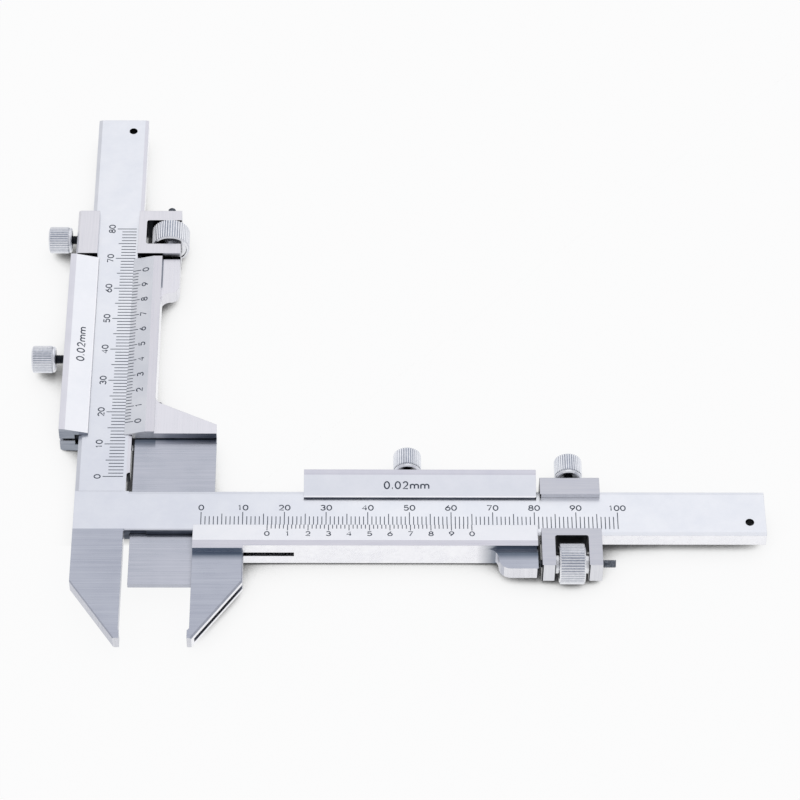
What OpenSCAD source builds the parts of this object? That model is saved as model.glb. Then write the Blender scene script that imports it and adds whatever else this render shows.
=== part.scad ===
// Gear tooth caliper: two beams at a right angle, each with its own vernier slide.
// The horizontal slide carries the moving jaw, the vertical one the height tongue.
// Both beams lie in the XY plane. X runs along the horizontal beam from its zero line,
// Y along the vertical beam from its zero line, and Z = 0 is the beams' front face.
// Every slide piece is drawn in the frame of its own beam: x along the beam from the
// scale's zero, y across it from its centre line, with the vernier on the negative side.

/* [Readings] */
// Jaw opening as drawn
jaw_reading = 15.9; // [0.5:0.1:50]
// Tongue height above the jaw tips as drawn
height_reading = 16.5; // [1:0.1:31]

/* [Beams] */
// Width of each beam
beam_w = 13; // [12:0.5:14]
// Thickness of each beam and of the jaws
beam_t = 3.8; // [3.6:0.1:4.4]
// Free end of the horizontal beam, from its zero line
h_beam_end = 135.6; // [133:0.2:150]
// Free end of the vertical beam, from its zero line
v_beam_end = 118.2; // [105:0.2:130]
// Centre line of the horizontal beam, from the vertical scale's zero line
h_centre_y = -10.95; // [-12:0.05:-10.5]
// Centre line of the vertical beam, from the horizontal scale's zero line
v_centre_x = -24.1; // [-26:0.05:-23]
// Width of the shallow bevel along each front edge
bevel_w = 0.9; // [0.5:0.1:1.2]
// Depth of that bevel
bevel_d = 0.22; // [0.1:0.02:0.4]
// Diameter of the hole near each free end
hang_hole_d = 2.1; // [1.6:0.1:2.6]
// Distance of that hole from the end and from the vernier edge
hang_hole_inset = 3.9; // [3:0.1:5]

/* [Corner joint] */
// Width of the tang that laps behind the horizontal beam
tang_w = 8.6; // [7:0.2:9]
// Length of the tang
tang_len = 9.4; // [8:0.2:10]
// Inset of the tang from the frame's outer edge
tang_inset = 1; // [0.8:0.1:1.5]
// Depth of the grinding relief in the inner corner
corner_relief = 0.8; // [0.4:0.1:1]
// Length of that relief up the vertical beam
corner_relief_len = 5.8; // [4:0.2:7]
// Depth of the relief in the horizontal beam's lower edge, over the tongue
edge_relief_d = 1.1; // [0.6:0.05:1.4]
// Relief beyond the tongue's outer edge
edge_relief_past = 2; // [1:0.5:4]
// Chamfer along the relief's front edge
edge_relief_chamfer = 0.6; // [0.3:0.05:0.8]
// Further depth of that relief beside the fixed jaw
jaw_relief_d = 0.35; // [0.2:0.05:0.6]
// Length of the deeper part
jaw_relief_len = 5.3; // [3:0.1:8]
// Radius in the relief's inner corner
jaw_relief_r = 0.45; // [0.2:0.05:0.8]
// Inset of the corner screws from the tang's edges, as a share of its size
corner_screw_in = 0.27; // [0.25:0.01:0.3]

/* [Jaws] */
// Jaw tips below the vertical zero line
tip_drop = 47.5; // [46:0.5:52]
// Width of each jaw
jaw_w = 12.1; // [11:0.1:12.5]
// Start of the slanted outer edge, above the tips
jaw_knee = 16.3; // [14:0.1:18]
// Width of the fixed jaw's tip
fixed_tip_w = 1.4; // [1:0.1:2]
// Width of the moving jaw's tip
moving_tip_w = 1.1; // [0.9:0.1:2]
// Height of the ground measuring faces at the tips
land_len = 2.2; // [1.5:0.1:3]
// How far the fixed jaw's measuring face stands proud
fixed_land = 0.25; // [0.1:0.05:0.4]
// How far the moving jaw's measuring face stands proud
moving_land = 0.55; // [0.3:0.05:0.7]
// Chamfer along the moving jaw's slanted front edge
jaw_chamfer = 0.4; // [0.2:0.05:0.6]
// Chamfer along its upright outer edge
jaw_side_chamfer = 0.25; // [0.1:0.05:0.35]
// Distance at which that chamfer stops below the ledge
jaw_side_stop = 0.4; // [0.2:0.1:1]
// Chamfer along the fixed jaw's slanted edge
fixed_chamfer = 0.25; // [0.15:0.05:0.5]
// Solid end of the moving jaw below its slit
tip_solid = 0.9; // [0.5:0.05:0.95]
// Slit of the moving jaw beyond the zero line of its vernier
slit_reach = 6.5; // [4.5:0.1:8]

/* [Tongue] */
// Width of the height tongue
tongue_w = 20; // [19:0.1:21]
// Thickness of the tongue
tongue_t = 1.25; // [1:0.05:1.4]
// Front face of the tongue behind the beams' front face
tongue_set = 1.6; // [1.5:0.05:1.8]
// Gap between the tongue and the vertical beam
tongue_gap = 0.65; // [0.5:0.05:0.9]
// Height of the arm at its free end
arm_tip_h = 2.8; // [2.4:0.1:3.4]
// Rise of the arm's sloped top edge
arm_rise = 6.9; // [5:0.1:8]
// Front face of the arm ahead of the beams' front face
arm_front = 0.6; // [0.3:0.1:1]
// Rim of the arm left around the tongue's seat
arm_rim = 0.9; // [0.6:0.1:1.2]
// Radius of the blend between the arm and the slide's wall
arm_blend_r = 1.6; // [0.8:0.1:2.4]
// Inset of the tongue's screws from the arm's lower edge
tongue_screw_low = 2.2; // [1.9:0.1:2.4]
// Distance between the two screws next to the wall
tongue_screw_step = 3.8; // [3.4:0.1:4]
// Inset of the tongue's screws from the wall and from the free end
tongue_screw_in = 2.8; // [2:0.1:4]

/* [Slides] */
// Horizontal slide ahead of its vernier's zero line
jaw_lead = 17.7; // [17.4:0.1:17.8]
// Horizontal slide behind its vernier's zero line
jaw_trail = 64.7; // [62:0.1:66]
// Start of the upper rail behind the vernier's zero line
rail_start = 8.7; // [8:0.1:12]
// Vertical slide ahead of its vernier's zero line
height_lead = 3.7; // [3:0.1:4]
// Vertical slide behind its vernier's zero line
height_trail = 53.2; // [51:0.1:55]
// Front face of the slides ahead of the beams
slide_front = 1.4; // [1.2:0.1:1.8]
// Thickness of the slides' back plates
back_t = 2.35; // [1.8:0.05:2.6]
// Inner edge of the horizontal slide's vernier face, from the beam's centre line
jaw_vernier_in = 3.6; // [3.4:0.1:4.2]
// Width of that sloped face
jaw_vernier_w = 5.5; // [5.2:0.1:6.3]
// Inner edge of the vertical slide's vernier face, from the beam's centre line
height_vernier_in = 4.6; // [3.6:0.1:4.9]
// Width of that sloped face
height_vernier_w = 5.15; // [5:0.05:6.3]
// Thickness of the vernier faces at their inner edges
vernier_edge = 0.14; // [0.1:0.01:0.2]
// Vernier wall of the horizontal slide beyond the beam's edge
jaw_wall = 4.2; // [4:0.1:4.6]
// Vernier wall of the vertical slide beyond the beam's edge
height_wall = 5.4; // [5:0.1:5.8]
// Ledge above the moving jaw, beyond the wall
jaw_ledge = 0.75; // [0.4:0.05:1]
// Screw rail of the horizontal slide beyond the beam's edge
jaw_rail = 5; // [4.6:0.1:5.6]
// Screw rail of the vertical slide beyond the beam's edge
height_rail = 4.8; // [4.4:0.1:5.4]
// Overlap of the front lip on the beam
lip_over = 2.25; // [1.8:0.05:2.8]
// Inner edge of a screw rail's sloped face ahead of the beams
rail_low = 0.7; // [0.4:0.05:1]
// Outer land of a screw rail ahead of the beams
rail_high = 2.2; // [1.6:0.1:2.6]
// Width of that flat land
rail_land_w = 1.1; // [0.8:0.1:1.6]
// Back plate's edge short of the beam's, where a slide has no screw rail
open_back_set = 1; // [0.6:0.1:2]
// Edge break along the back of slides and clamps
back_break = 0.5; // [0.2:0.1:0.8]

/* [Gibs] */
// Thickness of the gib strips
gib_t = 1; // [0.8:0.05:1.2]
// Height of the gib strips
gib_h = 3.3; // [2.8:0.1:3.4]
// Length of the tab that holds a slide's gib
gib_tab = 2.4; // [1.8:0.1:3]
// Thickness of that tab
gib_tab_t = 0.8; // [0.6:0.05:1]
// Distance of that tab below the rail's outer face
gib_tab_set = 0.6; // [0.3:0.1:1.2]
// Gib set back from the ends of its slide, at the tab and at the tail
gib_recess = 1; // [0.6:0.1:1.4]
gib_tail = 0.5; // [0.3:0.1:1]
// Rim that closes each end of a clamp's gib pocket
gib_end_lip = 0.8; // [0.6:0.1:1.2]

/* [Fine adjustment] */
// Diameter of the threaded rod
rod_d = 2; // [1.8:0.1:2.4]
// Rod axis beyond the beam's centre line
rod_offset = 13.6; // [13.4:0.1:14]
// Depth of the rod's seat in the boss
rod_seat = 5.4; // [4.5:0.1:6]
// Rod left standing out of the clamp
rod_tail = 3.2; // [2.6:0.1:4]
// Chamfer at the rod's free end
rod_chamfer = 0.3; // [0.1:0.05:0.5]
// Diameter of the pin that holds the rod
rod_pin_d = 0.8; // [0.6:0.05:1]
// Outer edge of the boss and of the clamp's legs, from the beam's centre line
boss_reach = 16.4; // [16.2:0.1:17]
// Straight part of the horizontal slide's boss
jaw_boss_len = 6.5; // [6.2:0.1:8]
// Straight part of the vertical slide's boss
height_boss_len = 9; // [7:0.1:10]
// Gap between the horizontal slide and its clamp as drawn
jaw_clamp_gap = 0.9; // [0.8:0.1:1.6]
// Gap between the vertical slide and its clamp as drawn
height_clamp_gap = 0.9; // [0.8:0.1:1.6]
// Length of each clamp
clamp_len = 14.4; // [14:0.1:15]
// Thickness of each of the clamp's legs
clamp_leg = 3.2; // [2.8:0.1:3.4]
// Upper rail of each clamp beyond the beam's edge
clamp_rail = 3.6; // [3.2:0.1:4.2]
// Overlap of the clamp's front plate on the beam at the nut's side
clamp_over = 1; // [0.7:0.1:1.4]
// Overlap of the clamp's front lip at the screw's side
clamp_lip = 1.8; // [1.2:0.1:2.4]
// Thickness of the clamp's back plate
clamp_back_t = 1.6; // [1.2:0.1:2]
// Web between the beam and the nut's window
clamp_web = 1.05; // [0.8:0.05:1.3]
// Radius in the window's inner corners
window_r = 0.6; // [0.3:0.05:0.8]
// Diameter of the knurled nut
nut_d = 9.8; // [9:0.1:10]
// Length of the nut's knurled rim
nut_rim = 6.2; // [5.4:0.1:6.6]
// Diameter of the nut's hubs
nut_hub_d = 4.6; // [3.8:0.1:6]
// Number of ridges around the nut
nut_ridges = 44; // [30:1:60]

/* [Thumb screws] */
// Diameter of the head
head_d = 6.8; // [6:0.1:7.4]
// Length of the head
head_len = 5.9; // [5:0.1:6.5]
// Chamfer at each end of the head
head_chamfer = 0.45; // [0.3:0.05:0.7]
// Number of ridges around the head
head_ridges = 34; // [24:1:44]
// Depth of the ridges on heads and nuts
ridge_depth = 0.2; // [0.12:0.01:0.3]
// Share of a ridge's pitch taken by its crest, and by each of its flanks
ridge_crest = 0.3; // [0.2:0.05:0.4]
ridge_flank = 0.2; // [0.1:0.05:0.25]
// Diameter of the screw's stem
stem_d = 2.3; // [2:0.1:2.6]
// Stem left bare above the horizontal slide
jaw_stem_gap = 1.9; // [1:0.1:3]
// Stem left bare beside the vertical slide
height_stem_gap = 2.3; // [1:0.1:3]
// Stem left bare above each clamp
clamp_stem_gap = 1.5; // [1:0.1:2]
// Place of the horizontal lock screw behind the vernier's zero line
jaw_screw_at = 33.7; // [28:0.1:45]
// Place of the vertical lock screw behind the vernier's zero line
height_screw_at = 21.7; // [14:0.1:40]

/* [Frame screws] */
// Diameter of the shank
fix_d = 1.8; // [1.4:0.1:2]
// Diameter of the countersunk head
fix_head_d = 3.2; // [2.6:0.1:3.4]
// Length of each frame screw
fix_len = 3.1; // [2.9:0.05:3.2]

/* [Fits] */
// Running clearance on each face of a sliding piece
slide_fit = 0.04; // [0.02:0.01:0.06]
// Radial clearance round a turning stem, rod or nut
turn_fit = 0.05; // [0.03:0.01:0.08]
// Clearance between pieces fixed to each other
seat_fit = 0.02; // [0.01:0.005:0.03]
// Clearance on each face of the tongue in its slits
slit_fit = 0.1; // [0.05:0.01:0.1]

/* [Hidden] */
$fn = 64;

satin = "gainsboro";
ground = "lightsteelblue";
knurled = "silver";
blued = "dimgray";

eps = 0.01;
over = 1;
half_w = beam_w / 2;
beam_top_y = h_centre_y + half_w;
beam_low_y = h_centre_y - half_w;
frame_left_x = v_centre_x - half_w;
v_right_x = v_centre_x + half_w;
mid_z = -beam_t / 2;
tip_y = -tip_drop;
knee_y = tip_y + jaw_knee;

jaw_inner_x = frame_left_x + jaw_w;
fixed_face_x = jaw_inner_x + fixed_land;
moving_face_x = fixed_face_x + jaw_reading + seat_fit;
jaw_start = jaw_reading - jaw_lead;
jaw_end = jaw_reading + jaw_trail;
jaw_outer_x = jaw_start + jaw_w;

height_start = height_reading - height_lead;
height_end = height_reading + height_trail;
tongue_left_x = v_right_x + tongue_gap;
tongue_right_x = tongue_left_x + tongue_w;
edge_relief_len = tongue_right_x + edge_relief_past - jaw_inner_x;
tongue_low_y = tip_y + height_reading;
tongue_front_z = -tongue_set;
tongue_back_z = tongue_front_z - tongue_t;

arm_root_x = v_centre_x + half_w + height_wall;
arm_top_y = height_start + arm_tip_h;
arm_slope_y = arm_top_y + arm_rise;

slide_floor_z = -beam_t - slide_fit;
slide_back_z = slide_floor_z - back_t;
jaw_vernier = [jaw_vernier_in, jaw_vernier_in + jaw_vernier_w];
height_vernier = [height_vernier_in, height_vernier_in + height_vernier_w];
gib_out = half_w + slide_fit + gib_t;
rail_in = gib_out + seat_fit;
clamp_back_z = slide_floor_z - clamp_back_t;
jaw_clamp_start = jaw_end + jaw_clamp_gap;
height_clamp_start = height_end + height_clamp_gap;
window_len = clamp_len - 2 * clamp_leg;
nut_len = window_len - 2 * turn_fit;

low_x = v_centre_x - half_w - height_rail - height_stem_gap - head_len;
low_z = min(slide_back_z, mid_z - nut_d / 2);
place = [-(low_x + h_beam_end) / 2, -(tip_y + v_beam_end) / 2, -low_z];

// Frame of the horizontal beam, and of the vertical beam
module on_h() { translate(place) translate([0, h_centre_y, 0]) children(); }
module on_v() { translate(place) translate([v_centre_x, 0, 0]) rotate([0, 0, 90]) children(); }

// Prism along x over a profile given in y and z
module along_x(from, len) { translate([from, 0, 0]) rotate([90, 0, 90]) linear_extrude(len) children(); }

// Plate between two levels over a profile given in x and y
module plate(low, high) { translate([0, 0, low]) linear_extrude(high - low) children(); }

// Cylinder along y from a point, and one along x from a point
module rod_y(at, len, d) { translate(at) rotate([-90, 0, 0]) cylinder(h = len, d = d); }
module rod_x(at, len, d) { translate(at) rotate([0, 90, 0]) cylinder(h = len, d = d); }

// Cutter that chamfers the edge from a to b at one level, with open air on its right, and above or below
module edge_cut(a, b, level, size, up = 1) {
    translate([a[0], a[1], level]) rotate([0, 0, atan2(b[1] - a[1], b[0] - a[0])])
        along_x(-over, norm(b - a) + 2 * over)
            polygon([[size + over, up * over], [-over, -up * (size + over)], [-over, up * over]]);
}

// Cutter for the shallow bevel along a front edge of a beam, side = 1 or -1
module beam_bevel(from, to, side) {
    drop = bevel_d * (bevel_w + over) / bevel_w;
    along_x(from, to - from)
        polygon([[side * (half_w - bevel_w), 0], [side * (half_w + over), -drop],
            [side * (half_w + over), over], [side * (half_w - bevel_w), over]]);
}

// Countersunk screw from the back face, with its hole when grown by a clearance
module frame_screw(at, grow = 0) {
    translate([at[0], at[1], -beam_t]) {
        cylinder(h = fix_len + grow, d = fix_d + 2 * grow);
        translate([0, 0, -grow]) cylinder(h = (fix_head_d - fix_d) / 2 + grow, d1 = fix_head_d + 2 * grow,
            d2 = fix_d + 2 * grow);
    }
}

corner_screw_shares = [[corner_screw_in, corner_screw_in], [1 - corner_screw_in, corner_screw_in],
    [0.5, 1 - corner_screw_in]];
corner_screw_places = [for (share = corner_screw_shares)
    [frame_left_x + tang_inset + share[0] * tang_w, beam_top_y - tang_len + share[1] * tang_len]];
tongue_screw_y = height_start + tongue_screw_low;
tongue_screw_places = [[arm_root_x + tongue_screw_in, tongue_screw_y],
    [arm_root_x + tongue_screw_in, tongue_screw_y + tongue_screw_step],
    [tongue_right_x - 2 * tongue_screw_in, tongue_screw_y]];

// Outline of the fixed jaw with the stretch of beam that it grows from
module fixed_jaw_outline() {
    polygon([[frame_left_x, beam_top_y], [frame_left_x, knee_y], [fixed_face_x - fixed_tip_w, tip_y],
        [fixed_face_x, tip_y], [fixed_face_x, tip_y + land_len], [jaw_inner_x, tip_y + land_len + fixed_land],
        [jaw_inner_x, beam_top_y]]);
}

// Relief in the beam's lower edge over the tongue, deeper beside the fixed jaw and rounded there
module edge_relief() {
    deep = edge_relief_d + jaw_relief_d;
    r = jaw_relief_r;
    translate([jaw_inner_x, beam_low_y]) {
        polygon([[r, -over], [r, deep], [jaw_relief_len, deep],
            [jaw_relief_len + jaw_relief_d, edge_relief_d], [edge_relief_len, edge_relief_d],
            [edge_relief_len + edge_relief_d, 0], [edge_relief_len + edge_relief_d, -over]]);
        translate([0, -over]) square([r + eps, over + deep - r]);
        translate([r, deep - r]) circle(r = r);
    }
}

module horizontal_beam() {
    color(satin) translate(place) difference() {
        union() {
            plate(-beam_t, 0) fixed_jaw_outline();
            translate([frame_left_x, beam_low_y, -beam_t]) cube([h_beam_end - frame_left_x, beam_w, beam_t]);
        }
        plate(-beam_t - over, over) edge_relief();
        edge_cut([jaw_inner_x + over, beam_low_y + edge_relief_d],
            [jaw_inner_x + edge_relief_len - over, beam_low_y + edge_relief_d], 0, edge_relief_chamfer);
        translate([0, h_centre_y, 0]) {
            beam_bevel(v_right_x, h_beam_end + over, 1);
            beam_bevel(jaw_inner_x + edge_relief_len, h_beam_end + over, -1);
        }
        edge_cut([frame_left_x, knee_y], [fixed_face_x - fixed_tip_w, tip_y], 0, fixed_chamfer);
        edge_cut([frame_left_x, knee_y], [fixed_face_x - fixed_tip_w, tip_y], -beam_t, fixed_chamfer, -1);
        tongue_slit();
        tang_cut(seat_fit);
        for (at = corner_screw_places) frame_screw(at, seat_fit);
        translate([h_beam_end - hang_hole_inset, beam_low_y + hang_hole_inset, -beam_t - over])
            cylinder(h = beam_t + 2 * over, d = hang_hole_d);
    }
}

// Slit across the horizontal beam that the tongue runs in
module tongue_slit() {
    translate([tongue_left_x - slit_fit, beam_low_y - over, tongue_back_z - slit_fit])
        cube([tongue_w + 2 * slit_fit, beam_w + 2 * over, tongue_t + 2 * slit_fit]);
}

// Half-lap tang of the vertical beam, behind the horizontal one
module tang_cut(grow = 0) {
    translate([frame_left_x + tang_inset - grow, beam_top_y - tang_len - grow, -beam_t - grow])
        cube([tang_w + 2 * grow, tang_len + grow + (grow > 0 ? over : 0), beam_t / 2 + 2 * grow]);
}

module vertical_beam() {
    beam_from = beam_top_y + seat_fit;
    color(satin) difference() {
        on_v() difference() {
            union() {
                translate([beam_from, -half_w, -beam_t]) cube([v_beam_end - beam_from, beam_w, beam_t]);
                translate([beam_top_y - tang_len, half_w - tang_inset - tang_w, -beam_t])
                    cube([tang_len + over, tang_w, beam_t / 2]);
            }
            beam_bevel(beam_from - over, v_beam_end + over, 1);
            beam_bevel(beam_from - over, v_beam_end + over, -1);
            corner_relief_cut();
            translate([v_beam_end - hang_hole_inset, -half_w + hang_hole_inset, -beam_t - over])
                cylinder(h = beam_t + 2 * over, d = hang_hole_d);
        }
        translate(place) for (at = corner_screw_places) frame_screw(at, seat_fit);
    }
}

// Rounded relief at the foot of the vertical beam's inner edge
module corner_relief_cut() {
    plate(-beam_t - over, over) {
        translate([beam_top_y - over, -half_w - over])
            square([corner_relief_len - corner_relief + over, over + corner_relief]);
        translate([beam_top_y + corner_relief_len - corner_relief, -half_w]) circle(r = corner_relief);
    }
}

module corner_screws() {
    color(blued) translate(place) for (at = corner_screw_places) frame_screw(at);
}

// Cross-section of a slide with walls on both sides of the beam. Its vernier face slopes from
// vernier[0] to vernier[1], and its screw rail slopes down towards the scale as well.
module slide_section(wall, rail, vernier) {
    wall_y = -half_w - wall;
    rail_y = half_w + rail;
    lip_y = half_w - lip_over;
    polygon([[wall_y, slide_back_z + back_break], [wall_y + back_break, slide_back_z],
        [rail_y - back_break, slide_back_z], [rail_y, slide_back_z + back_break],
        [rail_y, rail_high], [rail_y - rail_land_w, rail_high], [lip_y, rail_low],
        [lip_y, slide_fit], [rail_in, slide_fit], [rail_in, slide_floor_z],
        [-half_w - slide_fit, slide_floor_z], [-half_w - slide_fit, slide_fit],
        [-vernier[0], slide_fit], [-vernier[0], vernier_edge], [-vernier[1], slide_front],
        [wall_y, slide_front]]);
}

// Cross-section of the same slide where it has no screw rail
module open_section(wall, vernier) {
    wall_y = -half_w - wall;
    back_y = half_w - open_back_set;
    polygon([[wall_y, slide_back_z + back_break], [wall_y + back_break, slide_back_z],
        [back_y - back_break, slide_back_z], [back_y, slide_back_z + back_break], [back_y, slide_floor_z],
        [-half_w - slide_fit, slide_floor_z], [-half_w - slide_fit, slide_fit],
        [-vernier[0], slide_fit], [-vernier[0], vernier_edge], [-vernier[1], slide_front],
        [wall_y, slide_front]]);
}

// Boss that stands out of a slide's vernier wall and holds the threaded rod
module boss(end, len, wall) {
    root = half_w + wall;
    bend = (boss_reach - root) / 2;
    plate(-beam_t, 0) translate([end - len, -boss_reach]) {
        square([len, boss_reach - root + over]);
        translate([0, bend]) circle(r = bend);
        translate([-bend, bend]) square([bend + eps, bend + over]);
        difference() {
            translate([-2 * bend, bend]) square([bend + eps, bend + eps]);
            translate([-2 * bend, bend]) circle(r = bend);
        }
    }
}

// Holes for the rod and its pin at the end of a slide
module rod_holes(end) {
    rod_x([end - rod_seat - seat_fit, -rod_offset, mid_z], rod_seat + over, rod_d + 2 * seat_fit);
    translate([end - rod_seat / 2, -rod_offset, -beam_t - over])
        cylinder(h = beam_t / 2 + over + rod_d / 2 + seat_fit, d = rod_pin_d + 2 * seat_fit);
}

// Cut-outs in a slide's screw rail: the lock screw's hole and the slot for the gib's tab
module rail_holes(start, screw_at, rail) {
    rod_y([screw_at, half_w, mid_z], rail + over, stem_d + 2 * turn_fit);
    translate([start - over, half_w, mid_z - gib_tab_t / 2 - turn_fit])
        cube([over + gib_recess + gib_tab + 2 * turn_fit, rail + over, gib_tab_t + 2 * turn_fit]);
}

module moving_jaw_outline() {
    polygon([[jaw_start, beam_low_y - slide_fit], [jaw_start, tip_y + land_len + moving_land],
        [moving_face_x, tip_y + land_len], [moving_face_x, tip_y], [moving_face_x + moving_tip_w, tip_y],
        [jaw_outer_x, knee_y], [jaw_outer_x, beam_low_y - slide_fit]]);
}

module jaw_slide() {
    wall_y = beam_low_y - jaw_wall;
    color(satin) difference() {
        union() {
            on_h() along_x(jaw_start, jaw_end - jaw_start) open_section(jaw_wall, jaw_vernier);
            on_h() along_x(jaw_reading + rail_start, jaw_end - jaw_reading - rail_start)
                slide_section(jaw_wall, jaw_rail, jaw_vernier);
            on_h() boss(jaw_end, jaw_boss_len, jaw_wall);
            translate(place) plate(-beam_t, 0) moving_jaw_outline();
            translate(place) translate([jaw_start, wall_y - jaw_ledge, -beam_t])
                cube([jaw_w, jaw_ledge + over, beam_t + slide_front]);
        }
        translate(place) {
            edge_cut([moving_face_x + moving_tip_w, tip_y], [jaw_outer_x, knee_y], 0, jaw_chamfer);
            edge_cut([jaw_outer_x, knee_y], [jaw_outer_x, wall_y - jaw_ledge - jaw_side_stop - over], 0,
                jaw_side_chamfer);
            jaw_slit();
        }
        on_h() rod_holes(jaw_end);
        on_h() rail_holes(jaw_reading + rail_start, jaw_reading + jaw_screw_at, jaw_rail);
    }
}

// Slit through the moving jaw and its wall that lets the tongue pass when the jaws close
module jaw_slit() {
    translate([moving_face_x - over, tip_y + tip_solid, tongue_back_z - slit_fit])
        cube([jaw_reading + slit_reach - moving_face_x + over,
            beam_low_y - tip_y - tip_solid, tongue_t + 2 * slit_fit]);
}

// Gib strip of a slide, with the tab that keeps it from sliding out
module slide_gib(start, end, rail) {
    from = start + gib_recess;
    translate([from, half_w + slide_fit, mid_z - gib_h / 2]) cube([end - gib_tail - from, gib_t, gib_h]);
    translate([from, gib_out - eps, mid_z - gib_tab_t / 2])
        cube([gib_tab, rail - gib_t - gib_tab_set, gib_tab_t]);
}

module jaw_gib() {
    color(blued) on_h() slide_gib(jaw_reading + rail_start, jaw_end, jaw_rail);
}

// Round outline with straight ridges
module ridged_circle(d, ridges) {
    step = 360 / ridges;
    crest_r = d / 2;
    groove_r = d / 2 - ridge_depth;
    corners = [[0, crest_r], [ridge_crest, crest_r], [ridge_crest + ridge_flank, groove_r],
        [1 - ridge_flank, groove_r]];
    polygon([for (i = [0 : ridges - 1], c = corners)
        [c[1] * cos((i + c[0]) * step), c[1] * sin((i + c[0]) * step)]]);
}

// Knurled barrel with chamfered ends, along z
module knurled_barrel(d, len, ridges) {
    intersection() {
        linear_extrude(len) ridged_circle(d, ridges);
        rotate_extrude() polygon([[0, 0], [d / 2 - head_chamfer, 0], [d / 2 + eps, head_chamfer + eps],
            [d / 2 + eps, len - head_chamfer - eps], [d / 2 - head_chamfer, len], [0, len]]);
    }
}

// Thumb screw along y, from the outer face of a gib
module thumb_screw(at, rail, bare) {
    translate([at, gib_out + seat_fit, mid_z]) rotate([-90, 0, 0]) {
        stem = half_w + rail + bare - gib_out - seat_fit;
        cylinder(h = stem + over, d = stem_d);
        translate([0, 0, stem]) knurled_barrel(head_d, head_len, head_ridges);
    }
}

module jaw_lock_screw() {
    color(knurled) on_h() thumb_screw(jaw_reading + jaw_screw_at, jaw_rail, jaw_stem_gap);
}

// Threaded rod from its seat in the boss to its free end behind the clamp
module fine_rod(end, clamp_start) {
    tip = clamp_start + clamp_len + rod_tail;
    difference() {
        union() {
            rod_x([end - rod_seat, -rod_offset, mid_z], tip - end + rod_seat - rod_chamfer, rod_d);
            translate([tip - rod_chamfer, -rod_offset, mid_z]) rotate([0, 90, 0])
                cylinder(h = rod_chamfer, d1 = rod_d, d2 = rod_d - 2 * rod_chamfer);
        }
        translate([end - rod_seat / 2, -rod_offset, mid_z - rod_d])
            cylinder(h = 2 * rod_d, d = rod_pin_d + 2 * seat_fit);
    }
}

module jaw_fine_rod() { color(blued) on_h() fine_rod(jaw_end, jaw_clamp_start); }

// Cross pin that holds the rod in its boss
module rod_pin(end) {
    translate([end - rod_seat / 2, -rod_offset, -beam_t])
        cylinder(h = beam_t / 2 + rod_d / 2, d = rod_pin_d);
}

module jaw_rod_pin() { color(knurled) on_h() rod_pin(jaw_end); }

// Outline of the nut's window, rounded in its two inner corners
module window_outline(len, depth) {
    square([len, depth - window_r]);
    translate([window_r, 0]) square([len - 2 * window_r, depth]);
    for (x = [window_r, len - window_r]) translate([x, depth - window_r]) circle(r = window_r);
}

// Clamp that grips the beam, with the window for the nut between its legs
module clamp_block(start) {
    leg_in = half_w + slide_fit;
    rail_y = half_w + clamp_rail;
    lip_y = half_w - clamp_lip;
    window_y = half_w + clamp_web;
    difference() {
        along_x(start, clamp_len) polygon([[-boss_reach, clamp_back_z + back_break],
            [-boss_reach + back_break, clamp_back_z], [rail_y - back_break, clamp_back_z],
            [rail_y, clamp_back_z + back_break], [rail_y, slide_front - back_break],
            [rail_y - back_break, slide_front], [lip_y, slide_front], [lip_y, slide_fit],
            [leg_in, slide_fit], [leg_in, slide_floor_z], [-leg_in, slide_floor_z],
            [-leg_in, slide_fit], [-half_w + clamp_over, slide_fit],
            [-half_w + clamp_over, slide_front], [-boss_reach, slide_front]]);
        translate([start + gib_end_lip, half_w, mid_z - gib_h / 2 - turn_fit])
            cube([clamp_len - 2 * gib_end_lip, rail_in - half_w, gib_h + 2 * turn_fit]);
        plate(clamp_back_z - over, slide_front + over)
            translate([start + clamp_leg, -boss_reach - over])
                window_outline(window_len, boss_reach + over - window_y);
        rod_x([start - over, -rod_offset, mid_z], clamp_len + 2 * over, rod_d + 2 * turn_fit);
        rod_y([start + clamp_len / 2, half_w, mid_z], clamp_rail + over, stem_d + 2 * turn_fit);
    }
}

module clamp_gib(start) {
    from = start + gib_end_lip + turn_fit;
    translate([from, half_w + slide_fit, mid_z - gib_h / 2])
        cube([clamp_len - 2 * gib_end_lip - 2 * turn_fit, gib_t, gib_h]);
}

module jaw_clamp() { color(satin) on_h() clamp_block(jaw_clamp_start); }
module jaw_clamp_gib() { color(blued) on_h() clamp_gib(jaw_clamp_start); }
module jaw_clamp_screw() {
    color(knurled) on_h() thumb_screw(jaw_clamp_start + clamp_len / 2, clamp_rail, clamp_stem_gap);
}

// Knurled nut that fills the clamp's window and turns on the rod
module fine_nut(start) {
    translate([start + clamp_leg + turn_fit, -rod_offset, mid_z]) rotate([0, 90, 0]) difference() {
        union() {
            cylinder(h = nut_len, d = nut_hub_d);
            translate([0, 0, (nut_len - nut_rim) / 2]) knurled_barrel(nut_d, nut_rim, nut_ridges);
        }
        translate([0, 0, -over]) cylinder(h = nut_len + 2 * over, d = rod_d + 2 * turn_fit);
    }
}

module jaw_fine_nut() { color(knurled) on_h() fine_nut(jaw_clamp_start); }

// Outline of the arm, shrunk on its upper edges by the rim round the tongue's seat
module arm_outline(rim) {
    left = rim > 0 ? tongue_left_x : arm_root_x - over;
    polygon([[left, height_start], [tongue_right_x, height_start], [tongue_right_x, arm_top_y - rim],
        [arm_root_x + arm_blend_r / 2, arm_slope_y - rim], [left, arm_slope_y - rim]]);
}

// Concave blend between the arm's slope and the slide's wall
module arm_blend() {
    r = arm_blend_r;
    difference() {
        translate([arm_root_x - eps, arm_slope_y - eps]) square([r, r]);
        translate([arm_root_x + r, arm_slope_y + r]) circle(r = r);
    }
}

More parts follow.
